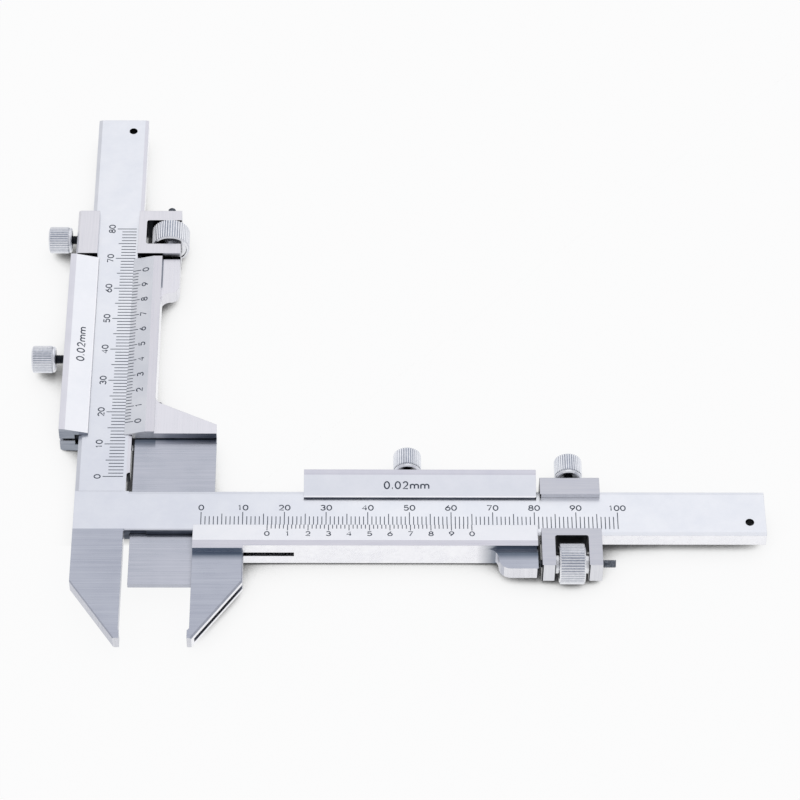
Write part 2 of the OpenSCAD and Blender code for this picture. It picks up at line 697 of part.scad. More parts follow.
module height_slide() {
    color(satin) difference() {
        union() {
            on_v() along_x(height_start, height_end - height_start)
                slide_section(height_wall, height_rail, height_vernier);
            on_v() boss(height_end, height_boss_len, height_wall);
            translate(place) plate(-beam_t, arm_front) {
                arm_outline(0);
                arm_blend();
            }
        }
        translate(place) {
            plate(tongue_back_z - seat_fit, tongue_front_z + seat_fit) {
                arm_outline(arm_rim);
                translate([tongue_left_x - seat_fit, height_start - over])
                    square([tongue_w + over, over + arm_tip_h - arm_rim]);
            }
            for (at = tongue_screw_places) frame_screw(at, seat_fit);
        }
        on_v() rod_holes(height_end);
        on_v() rail_holes(height_start, height_reading + height_screw_at, height_rail);
    }
}

module height_tongue() {
    color(ground) translate(place) difference() {
        plate(tongue_back_z, tongue_front_z) {
            translate([tongue_left_x, tongue_low_y]) square([tongue_w, height_start - tongue_low_y]);
            arm_outline(arm_rim + seat_fit);
        }
        for (at = tongue_screw_places) frame_screw(at, seat_fit);
    }
}

module tongue_screws() {
    color(blued) translate(place) for (at = tongue_screw_places) frame_screw(at);
}

module height_gib() { color(blued) on_v() slide_gib(height_start, height_end, height_rail); }
module height_lock_screw() {
    color(knurled) on_v() thumb_screw(height_reading + height_screw_at, height_rail, height_stem_gap);
}
module height_fine_rod() { color(blued) on_v() fine_rod(height_end, height_clamp_start); }
module height_rod_pin() { color(knurled) on_v() rod_pin(height_end); }
module height_clamp() { color(satin) on_v() clamp_block(height_clamp_start); }
module height_clamp_gib() { color(blued) on_v() clamp_gib(height_clamp_start); }
module height_clamp_screw() {
    color(knurled) on_v() thumb_screw(height_clamp_start + clamp_len / 2, clamp_rail, clamp_stem_gap);
}
module height_fine_nut() { color(knurled) on_v() fine_nut(height_clamp_start); }

horizontal_beam();
vertical_beam();
corner_screws();
jaw_slide();
jaw_gib();
jaw_lock_screw();
jaw_fine_rod();
jaw_rod_pin();
jaw_clamp();
jaw_clamp_gib();
jaw_clamp_screw();
jaw_fine_nut();
height_slide();
height_tongue();
tongue_screws();
height_gib();
height_lock_screw();
height_fine_rod();
height_rod_pin();
height_clamp();
height_clamp_gib();
height_clamp_screw();
height_fine_nut();
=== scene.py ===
import math

import bmesh
import bpy
from mathutils import Matrix, Vector


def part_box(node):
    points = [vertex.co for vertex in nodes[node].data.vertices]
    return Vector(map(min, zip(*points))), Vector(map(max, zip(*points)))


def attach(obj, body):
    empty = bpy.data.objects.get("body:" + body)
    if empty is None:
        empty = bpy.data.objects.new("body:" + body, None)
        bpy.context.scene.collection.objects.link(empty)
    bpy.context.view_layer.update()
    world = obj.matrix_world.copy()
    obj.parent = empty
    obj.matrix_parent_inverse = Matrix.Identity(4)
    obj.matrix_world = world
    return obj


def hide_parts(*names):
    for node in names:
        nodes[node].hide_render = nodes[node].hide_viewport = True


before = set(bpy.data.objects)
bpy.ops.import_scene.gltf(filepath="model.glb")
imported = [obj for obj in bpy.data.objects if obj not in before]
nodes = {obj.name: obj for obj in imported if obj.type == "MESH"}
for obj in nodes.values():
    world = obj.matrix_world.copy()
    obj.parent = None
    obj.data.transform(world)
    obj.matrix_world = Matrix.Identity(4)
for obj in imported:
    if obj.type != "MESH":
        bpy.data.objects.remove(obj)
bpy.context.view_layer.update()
mm = 0.001
print("frame loaded")

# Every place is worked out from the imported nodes. Each beam has a frame of its own: x along the beam from
# the zero of its scale, y across it from its centre line with the vernier on the negative side, and z off
# its face.
beamData = {
    "endFromZeroH": 135.6 * mm,     # free end of the horizontal beam from its zero line
    "endFromZeroV": 118.2 * mm,     # free end of the vertical beam from its zero line
    "beamWidth": 13 * mm,
    "holeInset": 3.9 * mm,          # a hang hole's centre from the beam's end and edge
    "holeReach": 1.5 * mm,
    "jawSlideLead": 18.25 * mm,     # from a slide's lowest point to the zero line of its vernier
    "heightSlideLead": 3.7 * mm,
    "slideFront": 1.4 * mm,         # land beside a vernier above the beam's face
    "railLow": 0.7 * mm,            # inner edge of a screw rail's sloped face above the beam's face
    "railHigh": 2.2 * mm,           # its outer land
}

hBeamLow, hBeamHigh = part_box("horizontal_beam")
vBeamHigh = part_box("vertical_beam")[1]
jawSlideLow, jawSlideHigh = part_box("jaw_slide")
heightSlideLow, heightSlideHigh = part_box("height_slide")

frontZ = hBeamHigh.z
zeroX = hBeamHigh.x - beamData["endFromZeroH"]
zeroY = vBeamHigh.y - beamData["endFromZeroV"]
centreY = hBeamHigh.y - beamData["beamWidth"] / 2
centreX = vBeamHigh.x - beamData["beamWidth"] / 2
jawVernierX = jawSlideLow.x + beamData["jawSlideLead"]
heightVernierY = heightSlideLow.y + beamData["heightSlideLead"]


def alongHorizontal(x):
    return Matrix.Translation((x, centreY, frontZ))


def alongVertical(y):
    return Matrix.Translation((centreX, y, frontZ)) @ Matrix.Rotation(math.pi / 2, 4, "Z")


# Camera, from a fit to the lines of both scales
cameraData = {
    "place": (-7.794 * mm, -547.888 * mm, 673.751 * mm),
    "azimuth": -1.040,
    "elevation": 51.185,
    "roll": 0.921,
    "lens": 156.263,
    "sensor": 36.0,
}


def linkObject(name, data):
    holder = bpy.data.objects.new(name, data)
    bpy.context.scene.collection.objects.link(holder)
    return holder


def makeCamera(data):
    azimuth = math.radians(data["azimuth"])
    elevation = math.radians(data["elevation"])
    roll = math.radians(data["roll"])
    back = Vector((math.sin(azimuth) * math.cos(elevation), -math.cos(azimuth) * math.cos(elevation),
                   math.sin(elevation)))
    right = Vector((math.cos(azimuth), math.sin(azimuth), 0))
    up = back.cross(right)
    rolledRight = right * math.cos(roll) + up * math.sin(roll)
    rolledUp = up * math.cos(roll) - right * math.sin(roll)
    camera = bpy.data.cameras.new("camera")
    camera.lens = data["lens"]
    camera.sensor_width = data["sensor"]
    camera.clip_end = 20
    holder = linkObject("camera", camera)
    turn = Matrix((rolledRight, rolledUp, back)).transposed().to_4x4()
    holder.matrix_world = Matrix.Translation(data["place"]) @ turn
    bpy.context.scene.camera = holder


makeCamera(cameraData)
print("camera placed")


def toLinear(hexText):
    channels = [int(hexText[i:i + 2], 16) / 255 for i in (1, 3, 5)]
    linear = [c / 12.92 if c <= 0.04045 else ((c + 0.055) / 1.055) ** 2.4 for c in channels]
    return (*linear, 1.0)


def addNode(tree, kind, settings=None, links=None):
    node = tree.nodes.new(kind)
    for name, value in (settings or {}).items():
        if isinstance(name, str) and hasattr(node, name):
            setattr(node, name, value)
        else:
            node.inputs[name].default_value = value
    for name, source in (links or {}).items():
        tree.links.new(source, node.inputs[name])
    return node


def newMaterial(name):
    material = bpy.data.materials.new(name)
    material.use_nodes = True
    tree = material.node_tree
    tree.nodes.clear()
    shader = addNode(tree, "ShaderNodeBsdfPrincipled")
    addNode(tree, "ShaderNodeOutputMaterial", {}, {"Surface": shader.outputs["BSDF"]})
    return material, tree, shader


grainData = {
    "grainDetail": 3.0, "grainRoughness": 0.6, "patchDetail": 2.0,
    "colourRange": (0.34, 0.66),    # part of the noise that runs from a finish's dark colour to its light one
    "roughRange": (0.3, 0.7),       # part of it that runs through the finish's roughness
}


def finishSockets(tree, place, finish):
    # colour, roughness and height of one finish: long grain lines, and soft patches across it
    grainScale = tuple(1 / (size * mm) for size in finish["grain"])
    stretched = addNode(tree, "ShaderNodeMapping", {"Scale": grainScale}, {"Vector": place})
    grain = addNode(tree, "ShaderNodeTexNoise", {"Scale": 1.0, "Detail": grainData["grainDetail"],
                                                 "Roughness": grainData["grainRoughness"]},
                    {"Vector": stretched.outputs["Vector"]})
    patch = addNode(tree, "ShaderNodeTexNoise", {"Scale": 1 / (finish["patch"] * mm),
                                                 "Detail": grainData["patchDetail"]}, {"Vector": place})
    both = addNode(tree, "ShaderNodeMath", {"operation": "MULTIPLY_ADD", 1: finish["patchShare"]},
                   {0: patch.outputs["Fac"], 2: grain.outputs["Fac"]})
    half = addNode(tree, "ShaderNodeMath", {"operation": "MULTIPLY", 1: 1 / (1 + finish["patchShare"])},
                   {0: both.outputs["Value"]})
    darkest, lightest = grainData["colourRange"]
    colour = addNode(tree, "ShaderNodeMapRange", {"From Min": darkest, "From Max": lightest},
                     {"Value": half.outputs[0]})
    mixed = addNode(tree, "ShaderNodeMix", {"data_type": "RGBA", 6: toLinear(finish["dark"]),
                                            7: toLinear(finish["light"])}, {0: colour.outputs["Result"]})
    low, high = finish["roughness"]
    smoothest, roughest = grainData["roughRange"]
    rough = addNode(tree, "ShaderNodeMapRange", {"From Min": smoothest, "From Max": roughest, "To Min": low,
                                                 "To Max": high}, {"Value": half.outputs[0]})
    return mixed.outputs[2], rough.outputs["Result"], grain.outputs["Fac"]


# Painted shade in corners and narrow gaps, where ambient occlusion darkens the colour: below "closed" it is
# darkest, and each finish says with its own "open" how open a place must be to keep its full colour
cornerShadeData = {"reach": 5 * mm, "closed": 0.1, "darkest": 0.06}


def metal(name, base, zones=()):
    # a metal with a base finish, and other finishes in zones. A zone is a list of limits that all hold:
    # (what, axis, lowest, highest), where what is "place" in metres or "facing" from -1 to 1. A "fade"
    # grows from nothing at its first place to the full finish at its second.
    material, tree, shader = newMaterial(name)
    shader.inputs["Metallic"].default_value = 1.0
    coordinates = addNode(tree, "ShaderNodeTexCoord").outputs
    place = coordinates["Object"]
    axes = {"place": addNode(tree, "ShaderNodeSeparateXYZ", {}, {"Vector": place}).outputs,
            "facing": addNode(tree, "ShaderNodeSeparateXYZ", {}, {"Vector": coordinates["Normal"]}).outputs}
    colour, rough, height = finishSockets(tree, place, base)
    openAt = None
    for finish, limits in zones:
        inside = None
        for what, axis, lowest, highest in limits:
            if what == "fade":
                held = addNode(tree, "ShaderNodeMapRange", {"From Min": lowest, "From Max": highest},
                               {"Value": axes["place"][axis]}).outputs[0]
            else:
                middle, reach = (lowest + highest) / 2, (highest - lowest) / 2
                held = addNode(tree, "ShaderNodeMath", {"operation": "COMPARE", 1: middle, 2: reach},
                               {0: axes[what][axis]}).outputs[0]
            if inside:
                held = addNode(tree, "ShaderNodeMath", {"operation": "MULTIPLY"},
                               {0: inside, 1: held}).outputs[0]
            inside = held
        other = finishSockets(tree, place, finish)
        colour = addNode(tree, "ShaderNodeMix", {"data_type": "RGBA"},
                         {0: inside, 6: colour, 7: other[0]}).outputs[2]
        rough = addNode(tree, "ShaderNodeMix", {}, {0: inside, 2: rough, 3: other[1]}).outputs[0]
        height = addNode(tree, "ShaderNodeMix", {}, {0: inside, 2: height, 3: other[2]}).outputs[0]
        openAt = addNode(tree, "ShaderNodeMix", {2: base["open"], 3: finish["open"]},
                         {0: inside, **({2: openAt} if openAt else {})}).outputs[0]
    relief = addNode(tree, "ShaderNodeBump", {"Strength": 1.0, "Distance": base["bump"] * mm},
                     {"Height": height})
    if base["edge"]:
        rounded = addNode(tree, "ShaderNodeBevel", {"samples": 4, "Radius": base["edge"] * mm})
        tree.links.new(rounded.outputs["Normal"], relief.inputs["Normal"])
    # painted shade: the colour darkens in the narrow gaps and inner corners
    gap = addNode(tree, "ShaderNodeAmbientOcclusion", {"samples": 8, "Distance": cornerShadeData["reach"]})
    lightShare = addNode(tree, "ShaderNodeMapRange", {"From Min": cornerShadeData["closed"],
                                                      "From Max": base["open"],
                                                      "To Min": cornerShadeData["darkest"]},
                         {"Value": gap.outputs["AO"], **({"From Max": openAt} if openAt else {})})
    cornerShaded = addNode(tree, "ShaderNodeMix", {"data_type": "RGBA", "blend_type": "MULTIPLY", 0: 1.0},
                    {6: colour, 7: lightShare.outputs[0]})
    tree.links.new(cornerShaded.outputs[2], shader.inputs["Base Color"])
    tree.links.new(rough, shader.inputs["Roughness"])
    tree.links.new(relief.outputs["Normal"], shader.inputs["Normal"])
    return material


# Satin chrome plate over fine-blasted stainless steel: pale, even, with hardly any grain
satinChrome = {"light": "#EDEFF4", "dark": "#E2E5EC", "grain": (5, 5, 5), "patch": 14, "patchShare": 0.6,
               "roughness": (0.28, 0.36), "bump": 0.0005, "edge": 0.1, "open": 0.3}
satinBeam = {**satinChrome, "open": 0.5}
# Lighter and darker copies of the plate for single faces: painted shade on rails, lands and bevels, painted
# light on the paler faces
satinRail = {**satinChrome, "light": "#E5E7EE", "dark": "#DADDE5"}
satinRailLand = {**satinChrome, "light": "#D3D3DC", "dark": "#C9C9D4"}
satinBevel = {**satinChrome, "light": "#DFDFE6", "dark": "#D5D5DD"}
satinPale = {**satinChrome, "light": "#F5F6FA", "dark": "#ECEEF3"}
# Painted shade: the plate darker towards the corner of the two beams
satinCorner = {**satinBeam, "light": "#E1E4EB", "dark": "#D7DAE3"}
# Bright-ground stainless sides, the wheel run along the beam
brightGround = {"light": "#FAFAFD", "dark": "#EFEFF4", "grain": (1.2, 1.2, 1.2), "patch": 5,
                "patchShare": 0.8, "roughness": (0.24, 0.34), "bump": 0.001, "edge": 0.1, "open": 0.5}
# Painted shade on the small inner steps: dark grey, with a milled grain
stepPaintedShade = {"light": "#5C626E", "dark": "#3D424D", "grain": (5, 5, 0.4), "patch": 4, "patchShare": 0.5,
              "roughness": (0.26, 0.36), "bump": 0.001, "edge": 0.1, "open": 0.4}
# Painted shade, lighter, on the ledge's lower face over the moving jaw
ledgePaintedShade = {**stepPaintedShade, "light": "#CDD5E2", "dark": "#BAC3D2", "open": 0.3}
# Painted shade and reflection, mid grey: bands on the boss, shadows on the jaw and the tongue
paintedShadeGrey = {**stepPaintedShade, "light": "#76808F", "dark": "#636C7B", "grain": (20, 0.4, 0.4), "open": 0.3}
# Painted shade, grey, on the rail's end face and the root of the arm's boss
endPaintedShade = {**stepPaintedShade, "light": "#A3A8B2", "dark": "#848A96"}
# Coarse end-milled faces with short streaks along X
milledStreaks = {**stepPaintedShade, "light": "#FFFFFF", "dark": "#D9DBE1", "grain": (4, 0.25, 0.25),
                 "roughness": (0.5, 0.62), "open": 0.3}
# Painted reflection and shade on the arm's end: grey and dark grey copies of the streaks
streaksPaintedHalfShade = {**milledStreaks, "light": "#C4C8D1", "dark": "#A2A8B4"}
streaksPaintedShade = {**milledStreaks, "light": "#6B7280", "dark": "#4A505C"}
milledBoss = {**stepPaintedShade, "light": "#ADB2BE", "dark": "#989EAB", "grain": (12, 0.4, 0.4), "open": 0.3}
# Painted shade on the inner faces of narrow gaps, holes and windows: nearly black
gapPaintedShade = {**stepPaintedShade, "light": "#20242B", "dark": "#101318"}
# Surface-ground stainless steel of the jaws and tongue: darker, with long straight lines across
groundAcross = {"light": "#BABEC9", "dark": "#A5A9B6", "grain": (26, 0.35, 0.35), "patch": 9,
                "patchShare": 0.5, "roughness": (0.24, 0.34), "bump": 0.001, "edge": 0.1, "open": 0.3}
groundTongue = {**groundAcross, "light": "#C3C5CF", "dark": "#ABAFBA", "open": 0.62}
# The same steel with the wheel run along Y, on the arm and on the land beside a vernier
groundUp = {**groundAcross, "light": "#E4E3E9", "dark": "#D9D9DF", "grain": (0.4, 22, 0.4)}
groundUpLand = {**groundUp, "light": "#DAD9DF", "dark": "#CFCED6"}
groundLand = {**groundAcross, "light": "#D4D3DB", "dark": "#C5C5CF", "grain": (18, 0.4, 0.4)}
# The jaws' ground sides, grey beside the bright faces
groundSide = {**groundAcross, "light": "#CDCED6", "dark": "#B3B6C1", "grain": (0.4, 0.4, 12)}
groundTip = {**groundSide, "light": "#DEDFE4", "dark": "#CDCED5"}
groundBoss = {**groundSide, "light": "#EAEAEF", "dark": "#DDDDE3"}
# Linished stainless of the clamps, a little warmer than the chrome: the belt ran along the jaw's beam on
# its clamp, and along Y on the vertical beam's
linished = {"light": "#CACBD2", "dark": "#BCBEC8", "grain": (12, 0.35, 0.35), "patch": 6, "patchShare": 0.4,
            "roughness": (0.28, 0.38), "bump": 0.001, "edge": 0.1, "open": 0.3}
linishedPale = {**linished, "light": "#E4E3E8", "dark": "#D8D8DE", "grain": (0.35, 12, 0.35)}
linishedFront = {**linished, "light": "#E2E3E8", "dark": "#D8D9DF", "grain": (0.35, 0.35, 12)}
# Turned and knurled steel, bright nickel plate: clean highlights on each ridge
nickel = {"light": "#F2F3F6", "dark": "#DFE1E7", "grain": (0.5, 0.5, 0.5), "patch": 3, "patchShare": 0.5,
          "roughness": (0.16, 0.26), "bump": 0.0005, "edge": 0, "open": 0.28}
# Painted shade: the heads a little darker than the nuts
nickelHeadPaintedShade = {**nickel, "light": "#F0F1F5", "dark": "#DADDE4"}
# Painted shade on the floors of the knurls' grooves
knurlGroovePaintedShade = {**nickel, "light": "#B4BAC5", "dark": "#949AA7"}
# Black-oxide steel: nearly black with an oily sheen
blackOxide = {"light": "#3A3E46", "dark": "#1E2127", "grain": (0.6, 0.6, 0.6), "patch": 2, "patchShare": 0.5,
              "roughness": (0.28, 0.42), "bump": 0.0005, "edge": 0, "open": 0.42}
# Drawn silver steel of the rods: grey, with painted shade darkening the roots of their threads
drawnRodFinish = {"light": "#8F959E", "dark": "#4C525C", "grain": (0.6, 0.6, 0.6), "patch": 2, "patchShare": 0.5,
            "roughness": (0.22, 0.34), "bump": 0.0005, "edge": 0, "open": 0.6}

# Zones of the finishes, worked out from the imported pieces
far = 1.0       # well past the object
half = beamData["beamWidth"] / 2
clampLow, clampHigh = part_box("jaw_clamp")
postClampLow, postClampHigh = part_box("height_clamp")
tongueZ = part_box("height_tongue")[1].z
sides = ("facing", "Z", -0.7, 0.7)
faceUp = ("facing", "Z", 0.6, 1.1)
flat = ("facing", "Z", 0.985, 1.1)
leaning = ("facing", "Z", 0.9, 0.985)
towardsUser = ("facing", "Y", -1.1, -0.6)
lowStep = ("place", "Z", frontZ + 0.04 * mm, frontZ + 0.55 * mm)
onFace = ("place", "Z", frontZ - 0.1 * mm, frontZ + 0.1 * mm)
onLand = ("place", "Z", frontZ + 1.2 * mm, frontZ + 1.6 * mm)
onRailLand = ("place", "Z", frontZ + 2.1 * mm, far)
onRailEdge = ("place", "Z", frontZ + 0.5 * mm, frontZ + 0.78 * mm)


def rightOf(x):
    return ("place", "X", x, far)


def leftOf(x):
    return ("place", "X", -far, x)


def above(y):
    return ("place", "Y", y, far)


def below(y):
    return ("place", "Y", -far, y)


def holeZone(x, y):
    # the wall of a hang hole
    reach = beamData["holeReach"]
    return [("place", "X", x - reach, x + reach), ("place", "Y", y - reach, y + reach), sides]


def railZones(outside, stepFacing):
    # the sloped face, outer land, inner edge and low step of a screw rail
    return ([outside, leaning], [outside, onRailLand, faceUp], [outside, onRailEdge, leaning],
            [outside, lowStep, stepFacing])


# the beams
fixedJaw = [below(centreY - 4.75 * mm), leftOf(hBeamLow.x + 12.4 * mm), faceUp]
jawSide = [below(centreY - half - 0.3 * mm), sides]
jawEnd = [below(hBeamLow.y + 0.3 * mm), towardsUser]
# painted shade on the beam's lower face in its relief, above the tongue
reliefSide = [("place", "X", hBeamLow.x + 12 * mm, hBeamLow.x + 38 * mm),
              ("place", "Z", -far, frontZ - 0.25 * mm), towardsUser]
# painted shade on the beams' faces towards their corner
beamCorner = [("fade", "X", hBeamLow.x + 70 * mm, hBeamLow.x + 30 * mm), faceUp]
postCorner = [("fade", "Y", zeroY + 45 * mm, zeroY + 10 * mm), faceUp]
# painted shade, nearly black, on the vertical beam's side in the gap beside the tongue
postFoot = [below(heightSlideLow.y + 7 * mm), ("place", "Z", -far, frontZ - 0.2 * mm),
            rightOf(centreX + 4 * mm), sides]
# painted shade on the vertical beam's bevels
postBevel = [("facing", "X", 0.1, 0.5), faceUp]
inset = beamData["holeInset"]
# painted shade, nearly black, on the walls of the hang holes
beamHole = holeZone(hBeamHigh.x - inset, centreY - half + inset)
postHole = holeZone(vBeamHigh.x - inset, vBeamHigh.y - inset)

# the slide with the moving jaw
ledgeY = jawSlideLow.y + 25.1 * mm
jawTop = [below(ledgeY - 0.2 * mm), ("place", "Z", -far, frontZ + 0.1 * mm)]
# painted shadow on the moving jaw's top just below the ledge
jawShade = [("fade", "Y", ledgeY - 2.6 * mm, ledgeY - 0.9 * mm), below(ledgeY), faceUp]
jawTip = [below(jawSlideLow.y + 0.3 * mm), towardsUser]
# painted shade on the ledge's lower face
jawLedge = [("place", "Y", ledgeY - 0.3 * mm, ledgeY + 0.3 * mm), leftOf(jawSlideLow.x + 12.2 * mm),
            towardsUser]
jawLand = [below(centreY - 9.1 * mm), onLand, flat]
# painted light: the vernier's face paler
jawVernier = [below(centreY - 3 * mm), leaning]
# the rail's faces take lighter and darker copies of the plate as painted light and shade; its low step
# painted shade
jawRail, jawRailLand, jawRailEdge, jawRailStep = railZones(above(centreY), ("facing", "Y", -1.1, -0.7))
bossX = jawSlideHigh.x - 12.2 * mm
bossRoot = [rightOf(bossX + 2 * mm), below(centreY - 10.6 * mm),
            ("place", "Z", frontZ + 0.1 * mm, frontZ + 1.35 * mm), towardsUser]
bossTop = [rightOf(bossX), below(centreY - 10.6 * mm), onFace, faceUp]
# painted reflection: a dark band across the top of the boss
bossShade = [("fade", "Y", centreY - 16.2 * mm, centreY - 14.6 * mm),
             ("fade", "Y", centreY - 12 * mm, centreY - 13.8 * mm)] + bossTop
bossFront = [rightOf(bossX), below(centreY - 10.9 * mm), sides]
# painted reflection of the boss, darkening the slide's wall beside it
bossFoot = [("fade", "X", bossX - 2.5 * mm, bossX + 2.5 * mm),
            ("place", "Y", centreY - 12.8 * mm, centreY - 10.6 * mm), sides]
# painted shade, nearly black, on the slide's end in the gap to its clamp
jawSlideEnd = [rightOf(jawSlideHigh.x - 0.3 * mm), sides]

# the slide with the arm
endFace = [below(heightSlideLow.y + 0.5 * mm), towardsUser]
heightLand = [rightOf(centreX + 9.75 * mm), onLand, flat]
# the same on the arm's slide: painted light and shade on the rail's faces, painted shade on its low step
heightRail, heightRailLand, heightRailEdge, heightRailStep = railZones(
    leftOf(centreX), ("facing", "X", 0.7, 1.1))
# painted shade, grey, on the rail's end face
heightEnd = endFace + [leftOf(centreX)]
# painted reflection and shade along the arm's end: grey, then dark grey, and a nearly black painted shadow
# line at its foot
armEnd = endFace + [("fade", "X", centreX + 11 * mm, centreX + 15.5 * mm)]
armEndFar = endFace + [("fade", "X", centreX + 14 * mm, centreX + 27 * mm)]
armEndFoot = endFace + [rightOf(centreX + half), ("place", "Z", -far, tongueZ + 0.32 * mm)]
armZone = [rightOf(centreX + 11.85 * mm), faceUp]
# painted shade, grey, on the root face of the arm's boss
postBossRoot = [("place", "X", centreX + 11.8 * mm, centreX + 12.2 * mm), above(heightSlideHigh.y - 9.5 * mm),
                ("place", "Z", frontZ - 0.1 * mm, frontZ + 1.35 * mm)]
postBossSide = [rightOf(centreX + 12 * mm), above(heightSlideHigh.y - 14 * mm), sides]
# painted shadow on the tongue where it goes under the arm, deeper on the left
armShade = [("fade", "Y", heightSlideLow.y - 0.9 * mm, heightSlideLow.y - 0.2 * mm), faceUp]
armShadeLeft = [("fade", "Y", heightSlideLow.y - 2.8 * mm, heightSlideLow.y - 0.8 * mm),
                leftOf(centreX + 12.2 * mm), faceUp]

# the clamps
# painted shade, nearly black, inside the clamps' windows and on their faces in the gaps to the slides
jawWindow = [("place", "X", clampLow.x + 3 * mm, clampHigh.x - 3 * mm), below(centreY), sides]
jawClampEnd = [leftOf(clampLow.x + 0.3 * mm), sides]
postWindow = [("place", "Y", postClampLow.y + 3 * mm, postClampHigh.y - 3 * mm), rightOf(centreX), sides,
              ("facing", "Y", -1.1, 0.5)]
postClampEnd = [below(postClampLow.y + 0.3 * mm), leftOf(centreX + 11.9 * mm), towardsUser]
postClampFoot = [below(postClampLow.y + 0.3 * mm), rightOf(centreX + 11.9 * mm),
                 ("place", "Z", -far, frontZ + 0.05 * mm), towardsUser]

# Satin chrome plate on the horizontal beam: pale and even, bright-ground sides, its jaw left as ground, and
# painted shade towards the corner, on the relief above the tongue and in its hang hole
beamSteel = metal("satinChromeBeamSteel", satinBeam, [
    (satinCorner, beamCorner), (brightGround, [sides]), (stepPaintedShade, reliefSide), (groundSide, jawSide),
    (groundTip, jawEnd), (groundAcross, fixedJaw), (gapPaintedShade, beamHole)])
# The same plate on the vertical beam, its bevels painted grey as shade beside the face, with painted shade
# towards the corner, in the gap beside the tongue and in its hang hole
postSteel = metal("satinChromePostSteel", satinBeam, [
    (satinCorner, postCorner), (brightGround, [sides]), (satinBevel, postBevel), (gapPaintedShade, postFoot),
    (gapPaintedShade, postHole)])
# The jaw's slide: plated vernier and rail, a ground jaw with straight lines across, and painted shade on
# its steps, ledge, boss and gaps, with painted light on the vernier
jawSteel = metal("satinChromeJawSlideSteel", satinChrome, [
    (brightGround, [sides]), (groundBoss, bossFront), (milledBoss, bossTop), (paintedShadeGrey, bossShade),
    (milledStreaks, bossRoot), (paintedShadeGrey, bossFoot), (groundAcross, jawTop + [faceUp]),
    (groundSide, jawTop + [("facing", "X", -1.1, -0.6)]), (groundTip, jawTip), (paintedShadeGrey, jawShade),
    (ledgePaintedShade, jawLedge), (groundLand, jawLand), (satinPale, jawVernier), (satinRail, jawRail),
    (satinRailLand, jawRailLand), (brightGround, jawRailEdge), (stepPaintedShade, jawRailStep),
    (gapPaintedShade, jawSlideEnd)])
# The arm's slide: a plated rail, an arm ground along Y, and a rough milled end whose streaks fade from bright
# to grey and dark grey as painted reflection and shade, with painted shade on its steps, ends and boss root
armSteel = metal("satinChromeHeightSlideSteel", satinChrome, [
    (brightGround, [sides]), (groundBoss, postBossSide), (groundUp, armZone), (groundUpLand, heightLand),
    (endPaintedShade, postBossRoot), (satinPale, heightRail), (satinBevel, heightRailLand),
    (brightGround, heightRailEdge), (stepPaintedShade, heightRailStep), (milledStreaks, endFace),
    (streaksPaintedHalfShade, armEnd), (streaksPaintedShade, armEndFar), (gapPaintedShade, armEndFoot),
    (endPaintedShade, heightEnd)])
# The surface-ground tongue: grey with long fine lines, and painted shade where it goes under the arm
tongueSteel = metal("groundTongueSteel", groundTongue, [(paintedShadeGrey, armShadeLeft), (paintedShadeGrey, armShade)])
# The linished clamps: warm grey with a fine straight grain, and painted shade, nearly black, inside their
# windows and on their faces in the gaps to the slides
clampSteel = metal("linishedClampSteel", linished, [
    (linishedFront, [sides]), (gapPaintedShade, jawWindow), (gapPaintedShade, jawClampEnd)])
clampSteelPale = metal("linishedPaleClampSteel", linishedPale, [
    (linishedFront, [sides]), (gapPaintedShade, postWindow), (gapPaintedShade, postClampEnd), (gapPaintedShade, postClampFoot)])
# Nickel plate on turned steel: bright ridges, heads painted a little darker as shade, and painted shade in
# the grooves between the ridges
nutNickel = metal("nickelPlatedNut", nickel)
headPaintedShadeNickel = metal("nickelPlatedHeadPaintedShade", nickelHeadPaintedShade)
groovePaintedShadeSteel = metal("paintedShadeKnurlGroove", knurlGroovePaintedShade)
# Black oxide on the small screws, stems and gibs, and drawn steel on the rods: dark, with a soft sheen
blackSteel = metal("blackOxideSteel", blackOxide)
rodSteel = metal("drawnRodSteel", drawnRodFinish)


# Etched lines filled with a dark grey-blue stain: matt, slightly uneven
stainData = {"dark": "#313A48", "light": "#475162", "spot": 0.4 * mm, "detail": 2.0, "roughness": 0.6}


def stainMaterial(data):
    material, tree, shader = newMaterial("etchedLineStain")
    place = addNode(tree, "ShaderNodeTexCoord").outputs["Object"]
    spots = addNode(tree, "ShaderNodeTexNoise", {"Scale": 1 / data["spot"], "Detail": data["detail"]},
                    {"Vector": place})
    mixed = addNode(tree, "ShaderNodeMix", {"data_type": "RGBA", 6: toLinear(data["dark"]),
                                            7: toLinear(data["light"])}, {0: spots.outputs["Fac"]})
    tree.links.new(mixed.outputs[2], shader.inputs["Base Color"])
    shader.inputs["Roughness"].default_value = data["roughness"]
    return material


stain = stainMaterial(stainData)

nodeMaterials = {
    "horizontal_beam": beamSteel, "vertical_beam": postSteel, "corner_screws": blackSteel,
    "jaw_slide": jawSteel, "jaw_clamp": clampSteel,
    "height_slide": armSteel, "height_tongue": tongueSteel, "tongue_screws": blackSteel,
    "height_clamp": clampSteelPale,
}
for side in ("jaw", "height"):
    for ending, material in (("gib", blackSteel), ("lock_screw", headPaintedShadeNickel), ("fine_rod", blackSteel),
                             ("rod_pin", nutNickel), ("clamp_gib", blackSteel), ("clamp_screw", headPaintedShadeNickel),
                             ("fine_nut", nutNickel)):
        nodeMaterials[side + "_" + ending] = material
for nodeName, material in nodeMaterials.items():
    for materialSlot in nodes[nodeName].material_slots:
        materialSlot.material = material
print("materials made")


def newTree(name, inputs):
    tree = bpy.data.node_groups.new(name, "GeometryNodeTree")
    for label, kind in inputs:
        tree.interface.new_socket(label, in_out="INPUT", socket_type=kind)
    tree.interface.new_socket("Geometry", in_out="OUTPUT", socket_type="NodeSocketGeometry")
    return tree, addNode(tree, "NodeGroupInput").outputs


